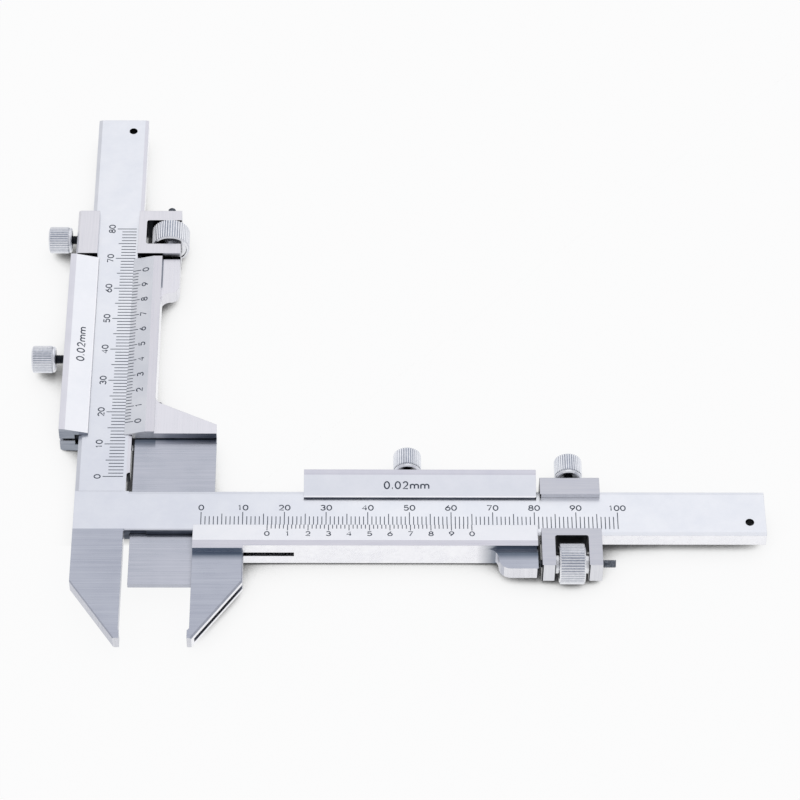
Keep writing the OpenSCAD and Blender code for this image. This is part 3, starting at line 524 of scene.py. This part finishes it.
def endTree(tree, geometry, material):
    real = addNode(tree, "GeometryNodeRealizeInstances", {}, {"Geometry": geometry})
    finished = addNode(tree, "GeometryNodeSetMaterial", {},
                       {"Geometry": real.outputs[0], "Material": material})
    addNode(tree, "NodeGroupOutput", {}, {"Geometry": finished.outputs[0]})


def raisedByHalf(tree, geometry, length):
    # lifts a shape that is centred on z = 0 until it stands there
    middle = addNode(tree, "ShaderNodeMath", {"operation": "MULTIPLY", 1: 0.5}, {0: length})
    lift = addNode(tree, "ShaderNodeCombineXYZ", {}, {"Z": middle.outputs[0]})
    return addNode(tree, "GeometryNodeTransform", {},
                   {"Geometry": geometry, "Translation": lift.outputs[0]}).outputs[0]


def plainMesh(holder):
    bpy.context.view_layer.update()
    evaluated = holder.evaluated_get(bpy.context.evaluated_depsgraph_get())
    return bpy.data.meshes.new_from_object(evaluated)


def bakeTree(name, tree, values):
    # runs the tree once and keeps its result as a plain mesh
    holder = linkObject(name + "Maker", bpy.data.meshes.new(name + "Maker"))
    modifier = holder.modifiers.new("maker", "NODES")
    modifier.node_group = tree
    for item in tree.interface.items_tree:
        if item.item_type == "SOCKET" and item.in_out == "INPUT" and item.name in values:
            modifier[item.identifier] = values[item.name]
    mesh = plainMesh(holder)
    holder.modifiers.remove(modifier)
    bpy.data.objects.remove(holder)
    return mesh


def addPiece(name, meshes, body, replaced=()):
    # joins meshes that are already in place into one piece that rides on a body
    work = bmesh.new()
    materials = []
    for mesh in meshes:
        start = len(work.faces)
        work.from_mesh(mesh)
        work.faces.ensure_lookup_table()
        for face in work.faces[start:]:
            material = mesh.materials[face.material_index]
            if material not in materials:
                materials.append(material)
            face.material_index = materials.index(material)
    whole = bpy.data.meshes.new(name)
    work.to_mesh(whole)
    work.free()
    for material in materials:
        whole.materials.append(material)
    piece = linkObject(name, whole)
    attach(piece, body)
    if replaced:
        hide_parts(*replaced)


# Graduations: one straight row of etched lines along x, its lines growing towards +y
def graduationTree():
    tree, inputs = newTree("graduation", [
        ("Count", "NodeSocketInt"), ("Pitch", "NodeSocketFloat"), ("Short", "NodeSocketFloat"),
        ("Middle", "NodeSocketFloat"), ("Long", "NodeSocketFloat"), ("Middle Every", "NodeSocketInt"),
        ("Long Every", "NodeSocketInt"), ("Line Width", "NodeSocketFloat"), ("Line Depth", "NodeSocketFloat"),
        ("Material", "NodeSocketMaterial")])
    step = addNode(tree, "ShaderNodeCombineXYZ", {}, {"X": inputs["Pitch"]})
    row = addNode(tree, "GeometryNodeMeshLine", {"mode": "OFFSET"},
                  {"Count": inputs["Count"], "Offset": step.outputs[0]})
    index = addNode(tree, "GeometryNodeInputIndex").outputs[0]

    def pickedLength(every, whenTrue, whenFalse):
        rest = addNode(tree, "ShaderNodeMath", {"operation": "MODULO"}, {0: index, 1: every})
        isOne = addNode(tree, "ShaderNodeMath", {"operation": "LESS_THAN", 1: 0.5}, {0: rest.outputs[0]})
        return addNode(tree, "GeometryNodeSwitch", {"input_type": "FLOAT"},
                       {"Switch": isOne.outputs[0], "False": whenFalse, "True": whenTrue}).outputs[0]

    middle = pickedLength(inputs["Middle Every"], inputs["Middle"], inputs["Short"])
    length = pickedLength(inputs["Long Every"], inputs["Long"], middle)
    half = addNode(tree, "ShaderNodeMath", {"operation": "MULTIPLY", 1: 0.5}, {0: length})
    shift = addNode(tree, "ShaderNodeCombineXYZ", {}, {"Y": half.outputs[0]})
    placed = addNode(tree, "GeometryNodeSetPosition", {},
                     {"Geometry": row.outputs["Mesh"], "Offset": shift.outputs[0]})
    size = addNode(tree, "ShaderNodeCombineXYZ", {},
                   {"X": inputs["Line Width"], "Y": length, "Z": inputs["Line Depth"]})
    line = addNode(tree, "GeometryNodeMeshCube")
    lines = addNode(tree, "GeometryNodeInstanceOnPoints", {},
                    {"Points": placed.outputs[0], "Instance": line.outputs["Mesh"], "Scale": size.outputs[0]})
    endTree(tree, lines.outputs[0], inputs["Material"])
    return tree


lineRow = graduationTree()

# Figures cut with a round-ended engraving stylus: strokes in a box 1 wide and 1 high
def arc(cx, cy, rx, ry, start, end, steps=14):
    turns = [math.radians(start + (end - start) * i / steps) for i in range(steps + 1)]
    return [(cx + rx * math.cos(t), cy + ry * math.sin(t)) for t in turns]


figureStrokes = {
    "0": [arc(0.5, 0.5, 0.48, 0.5, 0, 360, 24)],
    "1": [[(0.25, 0.78), (0.55, 1), (0.55, 0)]],
    "2": [arc(0.49, 0.69, 0.43, 0.31, 165, -40) + [(0.04, 0), (0.96, 0)]],
    "3": [arc(0.48, 0.75, 0.4, 0.25, 155, -90) + arc(0.48, 0.26, 0.46, 0.26, 85, -160)],
    "4": [[(0.74, 0), (0.74, 1), (0.02, 0.3), (0.98, 0.3)]],
    "5": [[(0.88, 1), (0.2, 1), (0.13, 0.55)] + arc(0.48, 0.32, 0.46, 0.32, 130, -150)],
    "6": [[(0.72, 1)] + arc(0.5, 0.31, 0.46, 0.31, 150, 510, 24)],
    "7": [[(0.03, 1), (0.96, 1), (0.35, 0)]],
    "8": [arc(0.5, 0.76, 0.37, 0.24, -90, 270, 20), arc(0.5, 0.26, 0.46, 0.26, 90, 450, 20)],
    "9": [[(0.28, 0)] + arc(0.5, 0.69, 0.46, 0.31, -30, 330, 24)],
    ".": [[(0, 0.02), (1, 0.02)], [(0, 0.09), (1, 0.09)]],
    "m": [[(0, 0), (0, 0.62)], arc(0.25, 0.4, 0.25, 0.22, 180, 0, 10) + [(0.5, 0)],
          arc(0.75, 0.4, 0.25, 0.22, 180, 0, 10) + [(1, 0)]],
}


def wordStrokes(word, x, y, look):
    # centre of the word at x, its foot at y
    widths = [look["width"] * look.get("wide", {}).get(c, 1) for c in word]
    total = sum(widths) + look["gap"] * (len(word) - 1)
    left = x - total / 2
    strokes = []
    for character, width in zip(word, widths):
        for stroke in figureStrokes[character]:
            strokes.append([(left + px * width, y + py * look["height"]) for px, py in stroke])
        left += width + look["gap"]
    return strokes


def strokeMesh(name, strokes, width, depth):
    # rounded ribbons along the strokes, flattened to the depth of the stain
    curve = bpy.data.curves.new(name, "CURVE")
    curve.dimensions = "3D"
    curve.bevel_depth = width / 2
    curve.bevel_resolution = 1
    curve.use_fill_caps = True
    for stroke in strokes:
        spline = curve.splines.new("POLY")
        spline.points.add(len(stroke) - 1)
        for point, (x, y) in zip(spline.points, stroke):
            point.co = (x, y, 0, 1)
    holder = linkObject(name, curve)
    mesh = plainMesh(holder)
    bpy.data.objects.remove(holder)
    mesh.transform(Matrix.Diagonal((1, 1, depth / width, 1)))
    mesh.materials.clear()
    mesh.materials.append(stain)
    return mesh


etchData = {
    "lineWidth": 0.21 * mm,
    "lineDepth": 0.03 * mm,
    "strokeWidth": 0.3 * mm,
}
mainScale = {
    "short": 3.65 * mm, "middle": 4.45 * mm, "long": 4.95 * mm, "figureGap": 0.6 * mm,
    "figure": {"width": 1.15 * mm, "height": 1.45 * mm, "gap": 0.35 * mm, "wide": {"1": 0.8}},
    "horizontal": {"foot": -4.7 * mm, "lines": 100},
    "vertical": {"foot": -4.9 * mm, "lines": 80},
}
vernierScale = {
    "innerLift": 0.14 * mm,
    "jaw": {"inner": -3.6 * mm, "outer": -9.1 * mm},
    "height": {"inner": -4.6 * mm, "outer": -9.75 * mm},
    "pitch": 0.98 * mm, "short": 1.45 * mm, "long": 2.1 * mm,
    "figureFoot": 4.05 * mm,
    "figure": {"width": 1.1 * mm, "height": 1.5 * mm, "gap": 0.3 * mm, "wide": {"1": 0.8}},
}
valueMark = {
    "railIn": 4.25 * mm, "strokeWidth": 0.345 * mm,
    "horizontal": {"x": 49.35 * mm, "railOut": 10.4 * mm},
    "vertical": {"x": 40.5 * mm, "railOut": 10.2 * mm},
    "figure": {"width": 1.24 * mm, "height": 1.8 * mm, "gap": 0.6 * mm, "wide": {".": 0.16, "m": 1.53}},
}


def mainScaleMesh(name, place, matrix):
    lines = place["lines"]
    marks = bakeTree(name, lineRow, {
        "Count": lines + 1, "Pitch": 1 * mm, "Short": mainScale["short"], "Middle": mainScale["middle"],
        "Long": mainScale["long"], "Middle Every": 5, "Long Every": 10, "Line Width": etchData["lineWidth"],
        "Line Depth": etchData["lineDepth"], "Material": stain})
    marks.transform(Matrix.Translation((0, place["foot"], 0)))
    figureFoot = place["foot"] + mainScale["long"] + mainScale["figureGap"]
    strokes = []
    for number in range(0, lines + 1, 10):
        strokes += wordStrokes(str(number), number * mm, figureFoot, mainScale["figure"])
    figures = strokeMesh(name + "Figures", strokes, etchData["strokeWidth"], etchData["lineDepth"])
    for mesh in (marks, figures):
        mesh.transform(matrix)
    return [marks, figures]


def vernierMesh(name, face, matrix):
    # the vernier lies on a face that rises outwards from its thin inner edge
    across = face["inner"] - face["outer"]
    rise = beamData["slideFront"] - vernierScale["innerLift"]
    slope = math.atan2(rise, across)
    marks = bakeTree(name, lineRow, {
        "Count": 51, "Pitch": vernierScale["pitch"], "Short": vernierScale["short"],
        "Middle": vernierScale["long"], "Long": vernierScale["long"], "Middle Every": 5, "Long Every": 5,
        "Line Width": etchData["lineWidth"], "Line Depth": etchData["lineDepth"], "Material": stain})
    marks.transform(Matrix.Scale(-1, 4, (0, 1, 0)))
    marks.flip_normals()
    strokes = []
    for number in range(11):
        strokes += wordStrokes(str(number % 10), number * 5 * vernierScale["pitch"],
                               -vernierScale["figureFoot"], vernierScale["figure"])
    figures = strokeMesh(name + "Figures", strokes, etchData["strokeWidth"], etchData["lineDepth"])
    lean = Matrix.Translation((0, face["inner"], vernierScale["innerLift"])) @ \
        Matrix.Rotation(-slope, 4, "X")
    for mesh in (marks, figures):
        mesh.transform(matrix @ lean)
    return [marks, figures]


def valueMesh(name, place, matrix):
    # the value lies on a screw rail's face, which rises outwards
    rise = beamData["railHigh"] - beamData["railLow"]
    across = place["railOut"] - valueMark["railIn"]
    foot = (math.hypot(rise, across) - valueMark["figure"]["height"]) / 2
    strokes = wordStrokes("0.02mm", place["x"], foot, valueMark["figure"])
    mesh = strokeMesh(name, strokes, valueMark["strokeWidth"], etchData["lineDepth"])
    lean = Matrix.Translation((0, valueMark["railIn"], beamData["railLow"])) @ \
        Matrix.Rotation(math.atan2(rise, across), 4, "X")
    mesh.transform(matrix @ lean)
    return mesh


addPiece("horizontalScale", mainScaleMesh("horizontalScale", mainScale["horizontal"], alongHorizontal(zeroX)),
         "frame")
addPiece("verticalScale", mainScaleMesh("verticalScale", mainScale["vertical"], alongVertical(zeroY)),
         "frame")
addPiece("jawVernier",
         vernierMesh("jawVernier", vernierScale["jaw"], alongHorizontal(jawVernierX)) +
         [valueMesh("jawValue", valueMark["horizontal"], alongHorizontal(zeroX))],
         "jaw_carriage")
addPiece("heightVernier",
         vernierMesh("heightVernier", vernierScale["height"], alongVertical(heightVernierY)) +
         [valueMesh("heightValue", valueMark["vertical"], alongVertical(zeroY))],
         "height_carriage")
print("scales etched")


# Straight knurl: a ring of ridges with tapered ends, axis along z, from z = 0 up
def knurlTree():
    tree, inputs = newTree("straightKnurl", [
        ("Ridges", "NodeSocketInt"), ("Radius", "NodeSocketFloat"), ("Length", "NodeSocketFloat"),
        ("Ridge Radius", "NodeSocketFloat"), ("Taper", "NodeSocketFloat"),
        ("Material", "NodeSocketMaterial")])
    ringRadius = addNode(tree, "ShaderNodeMath", {"operation": "SUBTRACT"},
                         {0: inputs["Radius"], 1: inputs["Ridge Radius"]})
    ring = addNode(tree, "GeometryNodeMeshCircle", {},
                   {"Vertices": inputs["Ridges"], "Radius": ringRadius.outputs[0]})
    body = addNode(tree, "ShaderNodeMath", {"operation": "MULTIPLY_ADD", 1: -2.0},
                   {0: inputs["Taper"], 2: inputs["Length"]})
    shaft = addNode(tree, "GeometryNodeMeshCylinder", {"Vertices": 6},
                    {"Radius": inputs["Ridge Radius"], "Depth": body.outputs[0]})
    half = addNode(tree, "ShaderNodeMath", {"operation": "MULTIPLY", 1: 0.5}, {0: body.outputs[0]})
    tipRadius = addNode(tree, "ShaderNodeMath", {"operation": "MULTIPLY", 1: 0.25},
                        {0: inputs["Ridge Radius"]})
    tip = addNode(tree, "GeometryNodeMeshCone", {"Vertices": 6},
                  {"Radius Top": tipRadius.outputs[0], "Radius Bottom": inputs["Ridge Radius"],
                   "Depth": inputs["Taper"]})
    upShift = addNode(tree, "ShaderNodeCombineXYZ", {}, {"Z": half.outputs[0]})
    upper = addNode(tree, "GeometryNodeTransform", {},
                    {"Geometry": tip.outputs["Mesh"], "Translation": upShift.outputs[0]})
    downShift = addNode(tree, "ShaderNodeVectorMath", {"operation": "SCALE", "Scale": -1.0},
                        {0: upShift.outputs[0]})
    lower = addNode(tree, "GeometryNodeTransform", {"Rotation": (math.pi, 0, 0)},
                    {"Geometry": tip.outputs["Mesh"], "Translation": downShift.outputs[0]})
    ridge = addNode(tree, "GeometryNodeJoinGeometry")
    for part in (shaft.outputs["Mesh"], upper.outputs[0], lower.outputs[0]):
        tree.links.new(part, ridge.inputs[0])
    ridges = addNode(tree, "GeometryNodeInstanceOnPoints", {},
                     {"Points": ring.outputs["Mesh"], "Instance": ridge.outputs[0]})
    endTree(tree, raisedByHalf(tree, ridges.outputs[0], inputs["Length"]), inputs["Material"])
    return tree


# Screw thread: a sharp ridge wound along z on a core of the same steel
def threadTree():
    tree, inputs = newTree("screwThread", [
        ("Turns", "NodeSocketFloat"), ("Length", "NodeSocketFloat"), ("Radius", "NodeSocketFloat"),
        ("Ridge", "NodeSocketFloat"), ("Material", "NodeSocketMaterial")])
    pathRadius = addNode(tree, "ShaderNodeMath", {"operation": "SUBTRACT"},
                         {0: inputs["Radius"], 1: inputs["Ridge"]})
    path = addNode(tree, "GeometryNodeCurveSpiral", {"Resolution": 16},
                   {"Rotations": inputs["Turns"], "Start Radius": pathRadius.outputs[0],
                    "End Radius": pathRadius.outputs[0], "Height": inputs["Length"]})
    profile = addNode(tree, "GeometryNodeCurvePrimitiveCircle", {"Resolution": 4},
                      {"Radius": inputs["Ridge"]})
    ridge = addNode(tree, "GeometryNodeCurveToMesh", {"Fill Caps": True},
                    {"Curve": path.outputs[0], "Profile Curve": profile.outputs[0]})
    core = addNode(tree, "GeometryNodeMeshCylinder", {"Vertices": 32},
                   {"Radius": pathRadius.outputs[0], "Depth": inputs["Length"]})
    both = addNode(tree, "GeometryNodeJoinGeometry")
    for part in (ridge.outputs[0], raisedByHalf(tree, core.outputs["Mesh"], inputs["Length"])):
        tree.links.new(part, both.inputs[0])
    endTree(tree, both.outputs[0], inputs["Material"])
    return tree


knurl = knurlTree()
thread = threadTree()


def turned(name, profile, material, steps=64):
    # solid of revolution about z from (radius, height) points, closed on the axis or on itself
    work = bmesh.new()
    rings = []
    for radius, height in profile:
        if radius < 1e-7:
            rings.append([work.verts.new((0, 0, height))])
            continue
        turns = [2 * math.pi * i / steps for i in range(steps)]
        rings.append([work.verts.new((radius * math.cos(t), radius * math.sin(t), height)) for t in turns])
    pairs = list(zip(rings, rings[1:]))
    if len(rings[0]) > 1:
        pairs.append((rings[-1], rings[0]))
    for lower, upper in pairs:
        for i in range(steps):
            j = (i + 1) % steps
            corners = [lower[i % len(lower)], lower[j % len(lower)], upper[j % len(upper)],
                       upper[i % len(upper)]]
            work.faces.new(list(dict.fromkeys(corners)))
    bmesh.ops.recalc_face_normals(work, faces=work.faces)
    mesh = bpy.data.meshes.new(name)
    work.to_mesh(mesh)
    work.free()
    mesh.materials.append(material)
    return mesh


knurlData = {
    "proud": 0.75,              # share of a ridge's radius that stands above the core
    "grooveLift": 0.02 * mm,
    "grooveWall": 0.3 * mm,
}


def standAlong(nodeName, axis):
    # length and radius of a round node, and the matrix that stands a shape made along z on its axis
    low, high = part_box(nodeName)
    direction = Vector(axis)
    length = abs((high - low).dot(direction))
    turn = Vector((0, 0, 1)).rotation_difference(direction).to_matrix().to_4x4()
    foot = (low + high) / 2 - direction * length / 2
    return length, (high.z - low.z) / 2, Matrix.Translation(foot) @ turn


def knurlRing(name, look, radius, foot, length, material):
    ring = bakeTree(name + "Ridges", knurl, {
        "Ridges": look["ridges"], "Radius": radius, "Length": length, "Ridge Radius": look["ridgeRadius"],
        "Taper": look["taper"], "Material": material})
    ring.transform(Matrix.Translation((0, 0, foot)))
    return ring


def grooveSleeve(name, core, low, high):
    # painted shade: a grey sleeve just above the core, as the floor of a knurl's grooves
    outer, inner = core + knurlData["grooveLift"], core - knurlData["grooveWall"]
    return turned(name + "Grooves", [(inner, low), (outer, low), (outer, high), (inner, high)], groovePaintedShadeSteel)


headData = {
    "length": 5.9 * mm, "ridges": 36, "ridgeRadius": 0.22 * mm, "taper": 0.3 * mm,
    "collar": 0.75 * mm,        # smooth rim next to the stem
    "collarEdge": 0.15 * mm, "barrelInset": 0.12 * mm,
    "footEdge": 0.3 * mm, "footInset": 0.35 * mm,
    "crown": 0.35 * mm,         # rounding of the outer end
    "crownInset": 0.3 * mm, "crownDrop": 0.12 * mm,
    "knurlEnd": 0.25 * mm,      # smooth edge beyond the knurl
    "grooveStart": 0.2 * mm, "grooveEnd": 0.1 * mm,
    "recessRadius": 2.3 * mm, "recessDepth": 0.5 * mm, "recessLean": 0.1 * mm,
    "stemRadius": 1.15 * mm, "stemOverlap": 0.2 * mm, "threadPitch": 0.4 * mm, "threadRidge": 0.12 * mm,
}


def thumbScrew(nodeName, body, axis):
    # axis points from the stem to the head
    top, radius, toPlace = standAlong(nodeName, axis)
    base = top - headData["length"]
    floor = base + headData["recessDepth"]
    collar = base + headData["collar"]
    shoulder = top - headData["crown"]
    core = radius - headData["ridgeRadius"] * knurlData["proud"]
    inner = core - headData["barrelInset"]
    recess = headData["recessRadius"]
    barrel = turned(nodeName + "Barrel", [
        (0, floor), (recess, floor), (recess + headData["recessLean"], base),
        (core - headData["footInset"], base), (core, base + headData["footEdge"]),
        (core, collar - headData["collarEdge"]), (inner, collar), (inner, shoulder),
        (core - headData["crownInset"], top - headData["crownDrop"]),
        (core - 2 * headData["crownInset"], top), (0, top)], headPaintedShadeNickel)
    ridges = knurlRing(nodeName, headData, radius, collar, top - headData["knurlEnd"] - collar, headPaintedShadeNickel)
    grooves = grooveSleeve(nodeName, core, collar + headData["grooveStart"], shoulder - headData["grooveEnd"])
    stemLength = floor + headData["stemOverlap"]
    stem = bakeTree(nodeName + "Stem", thread, {
        "Turns": stemLength / headData["threadPitch"], "Length": stemLength, "Radius": headData["stemRadius"],
        "Ridge": headData["threadRidge"], "Material": blackSteel})
    for mesh in (barrel, ridges, grooves, stem):
        mesh.transform(toPlace)
    addPiece(nodeName + "_turned", [barrel, ridges, grooves, stem], body, [nodeName])


thumbScrew("jaw_lock_screw", "jaw_lock", (0, 1, 0))
thumbScrew("jaw_clamp_screw", "jaw_clamp_knob", (0, 1, 0))
thumbScrew("height_lock_screw", "height_lock", (-1, 0, 0))
thumbScrew("height_clamp_screw", "height_clamp_knob", (-1, 0, 0))
print("thumb screws turned")

nutData = {
    "ridges": 46, "ridgeRadius": 0.24 * mm, "taper": 0.25 * mm, "rim": 6.2 * mm,
    "hubRadius": 2.3 * mm, "boreRadius": 1.05 * mm, "edge": 0.35 * mm,
    "land": 0.56 * mm,          # from the core to the inner edge of the end face
    "dish": 0.3 * mm, "dishEdge": 0.7 * mm,
    "knurlEdge": 0.15 * mm,
}


def fineNut(nodeName, body, axis):
    length, radius, toPlace = standAlong(nodeName, axis)
    start = (length - nutData["rim"]) / 2
    end = start + nutData["rim"]
    core = radius - nutData["ridgeRadius"] * knurlData["proud"]
    hub, bore, edge, dish = (nutData[key] for key in ("hubRadius", "boreRadius", "edge", "dish"))
    land, dishEdge = core - nutData["land"], core - nutData["dishEdge"]
    barrel = turned(nodeName + "Barrel", [
        (bore, 0), (hub, 0), (hub, start + dish), (dishEdge, start + dish), (land, start),
        (core - edge, start), (core, start + edge), (core, end - edge), (core - edge, end), (land, end),
        (dishEdge, end - dish), (hub, end - dish), (hub, length), (bore, length)], nutNickel)
    ridges = knurlRing(nodeName, nutData, radius, start + nutData["knurlEdge"],
                       nutData["rim"] - 2 * nutData["knurlEdge"], nutNickel)
    grooves = grooveSleeve(nodeName, core, start + edge, end - edge)
    for mesh in (barrel, ridges, grooves):
        mesh.transform(toPlace)
    addPiece(nodeName + "_turned", [barrel, ridges, grooves], body, [nodeName])


fineNut("jaw_fine_nut", "jaw_nut", (1, 0, 0))
fineNut("height_fine_nut", "height_nut", (0, 1, 0))
print("nuts turned")

rodData = {"pitch": 0.4 * mm, "ridge": 0.13 * mm}


def fineRod(nodeName, body, axis):
    length, radius, toPlace = standAlong(nodeName, axis)
    mesh = bakeTree(nodeName + "Thread", thread, {
        "Turns": length / rodData["pitch"], "Length": length, "Radius": radius, "Ridge": rodData["ridge"],
        "Material": rodSteel})
    mesh.transform(toPlace)
    addPiece(nodeName + "_threaded", [mesh], body, [nodeName])


fineRod("jaw_fine_rod", "jaw_carriage", (1, 0, 0))
fineRod("height_fine_rod", "height_carriage", (0, 1, 0))
print("rods threaded")

# Pale floor and a soft studio: a wide softbox behind the object, and an even pale room
studioData = {
    "floorReach": 6.0,
    "paper": (0.9, 0.9, 0.9, 1),
    "glowShare": 0.9,
    "shadowReach": 16 * mm,
    "shadow": [(0.24, 0.02), (0.46, 0.93), (0.78, 1.0)],   # openness of a place on the floor, and its light
    "jawFront": (centreY - 1 * mm, centreY - 5 * mm),      # where the painted shadow begins to be left out, and where it is fully left out
    "jawLeft": (jawSlideLow.x + 8 * mm, jawSlideLow.x),
    "room": "#EFEFF2",
    "roomStrength": 0.86,
    "boxDistance": 2.0,
    "boxAzimuth": 8,
    "boxElevation": 56,
    "boxWidth": 1.3,
    "boxHeight": 2.6,
    "boxRadiance": 0.32,
}


def makeFloor():
    mesh = bpy.data.meshes.new("floor")
    reach = studioData["floorReach"]
    corners = [(-reach, -reach, 0), (reach, -reach, 0), (reach, reach, 0), (-reach, reach, 0)]
    mesh.from_pydata(corners, [], [(0, 1, 2, 3)])
    floor = linkObject("floor", mesh)
    material = bpy.data.materials.new("paperFloor")
    material.use_nodes = True
    tree = material.node_tree
    tree.nodes.clear()
    # painted shadow: the paper's own white glow dims where the object stands close above it, so gaps and
    # holes stay dark
    near = addNode(tree, "ShaderNodeAmbientOcclusion", {"samples": 12, "Distance": studioData["shadowReach"]})
    shade = addNode(tree, "ShaderNodeValToRGB", {}, {"Fac": near.outputs["AO"]})
    steps = shade.color_ramp.elements
    steps.new(0.5)      # a third step, whose place is set below
    for step, (openness, light) in zip(steps, studioData["shadow"]):
        step.position = openness
        step.color = (light, light, light, 1)
    # around the jaws the painted shadow is left out, so the gaps there stay pale
    place = addNode(tree, "ShaderNodeSeparateXYZ", {},
                    {"Vector": addNode(tree, "ShaderNodeTexCoord").outputs["Object"]}).outputs
    inJaws = []
    for axis, key in (("Y", "jawFront"), ("X", "jawLeft")):
        begins, full = studioData[key]
        inJaws.append(addNode(tree, "ShaderNodeMapRange", {"From Min": begins, "From Max": full},
                              {"Value": place[axis]}).outputs[0])
    jaws = addNode(tree, "ShaderNodeMath", {"operation": "MULTIPLY"}, {0: inJaws[0], 1: inJaws[1]})
    rays = addNode(tree, "ShaderNodeLightPath").outputs
    seen = shade.outputs[0]
    for whole in (jaws.outputs[0], rays["Is Glossy Ray"], rays["Is Transmission Ray"]):
        seen = addNode(tree, "ShaderNodeMath", {"operation": "MAXIMUM"}, {0: seen, 1: whole}).outputs[0]
    paper = addNode(tree, "ShaderNodeBsdfDiffuse", {"Color": studioData["paper"]})
    glow = addNode(tree, "ShaderNodeEmission", {"Color": (1, 1, 1, 1)}, {"Strength": seen})
    mixed = addNode(tree, "ShaderNodeMixShader", {0: studioData["glowShare"]},
                    {1: paper.outputs[0], 2: glow.outputs[0]})
    addNode(tree, "ShaderNodeOutputMaterial", {}, {"Surface": mixed.outputs[0]})
    mesh.materials.append(material)


def makeRoom():
    world = bpy.data.worlds.new("studioRoom")
    bpy.context.scene.world = world
    world.use_nodes = True
    tree = world.node_tree
    tree.nodes.clear()
    room = addNode(tree, "ShaderNodeBackground", {"Color": toLinear(studioData["room"]),
                                                  "Strength": studioData["roomStrength"]})
    addNode(tree, "ShaderNodeOutputWorld", {}, {"Surface": room.outputs[0]})


def makeSoftbox():
    light = bpy.data.lights.new("softbox", "AREA")
    light.shape = "RECTANGLE"
    light.size = studioData["boxWidth"]
    light.size_y = studioData["boxHeight"]
    light.energy = studioData["boxRadiance"] * math.pi * light.size * light.size_y
    holder = linkObject("softbox", light)
    elevation = math.radians(studioData["boxElevation"])
    azimuth = math.radians(studioData["boxAzimuth"])
    place = Vector((math.sin(azimuth) * math.cos(elevation), math.cos(azimuth) * math.cos(elevation),
                    math.sin(elevation))) * studioData["boxDistance"]
    holder.matrix_world = Matrix.Translation(place) @ place.to_track_quat("Z", "Y").to_matrix().to_4x4()


makeFloor()
makeRoom()
makeSoftbox()
bpy.context.scene.view_settings.view_transform = "Standard"
print("studio lit")
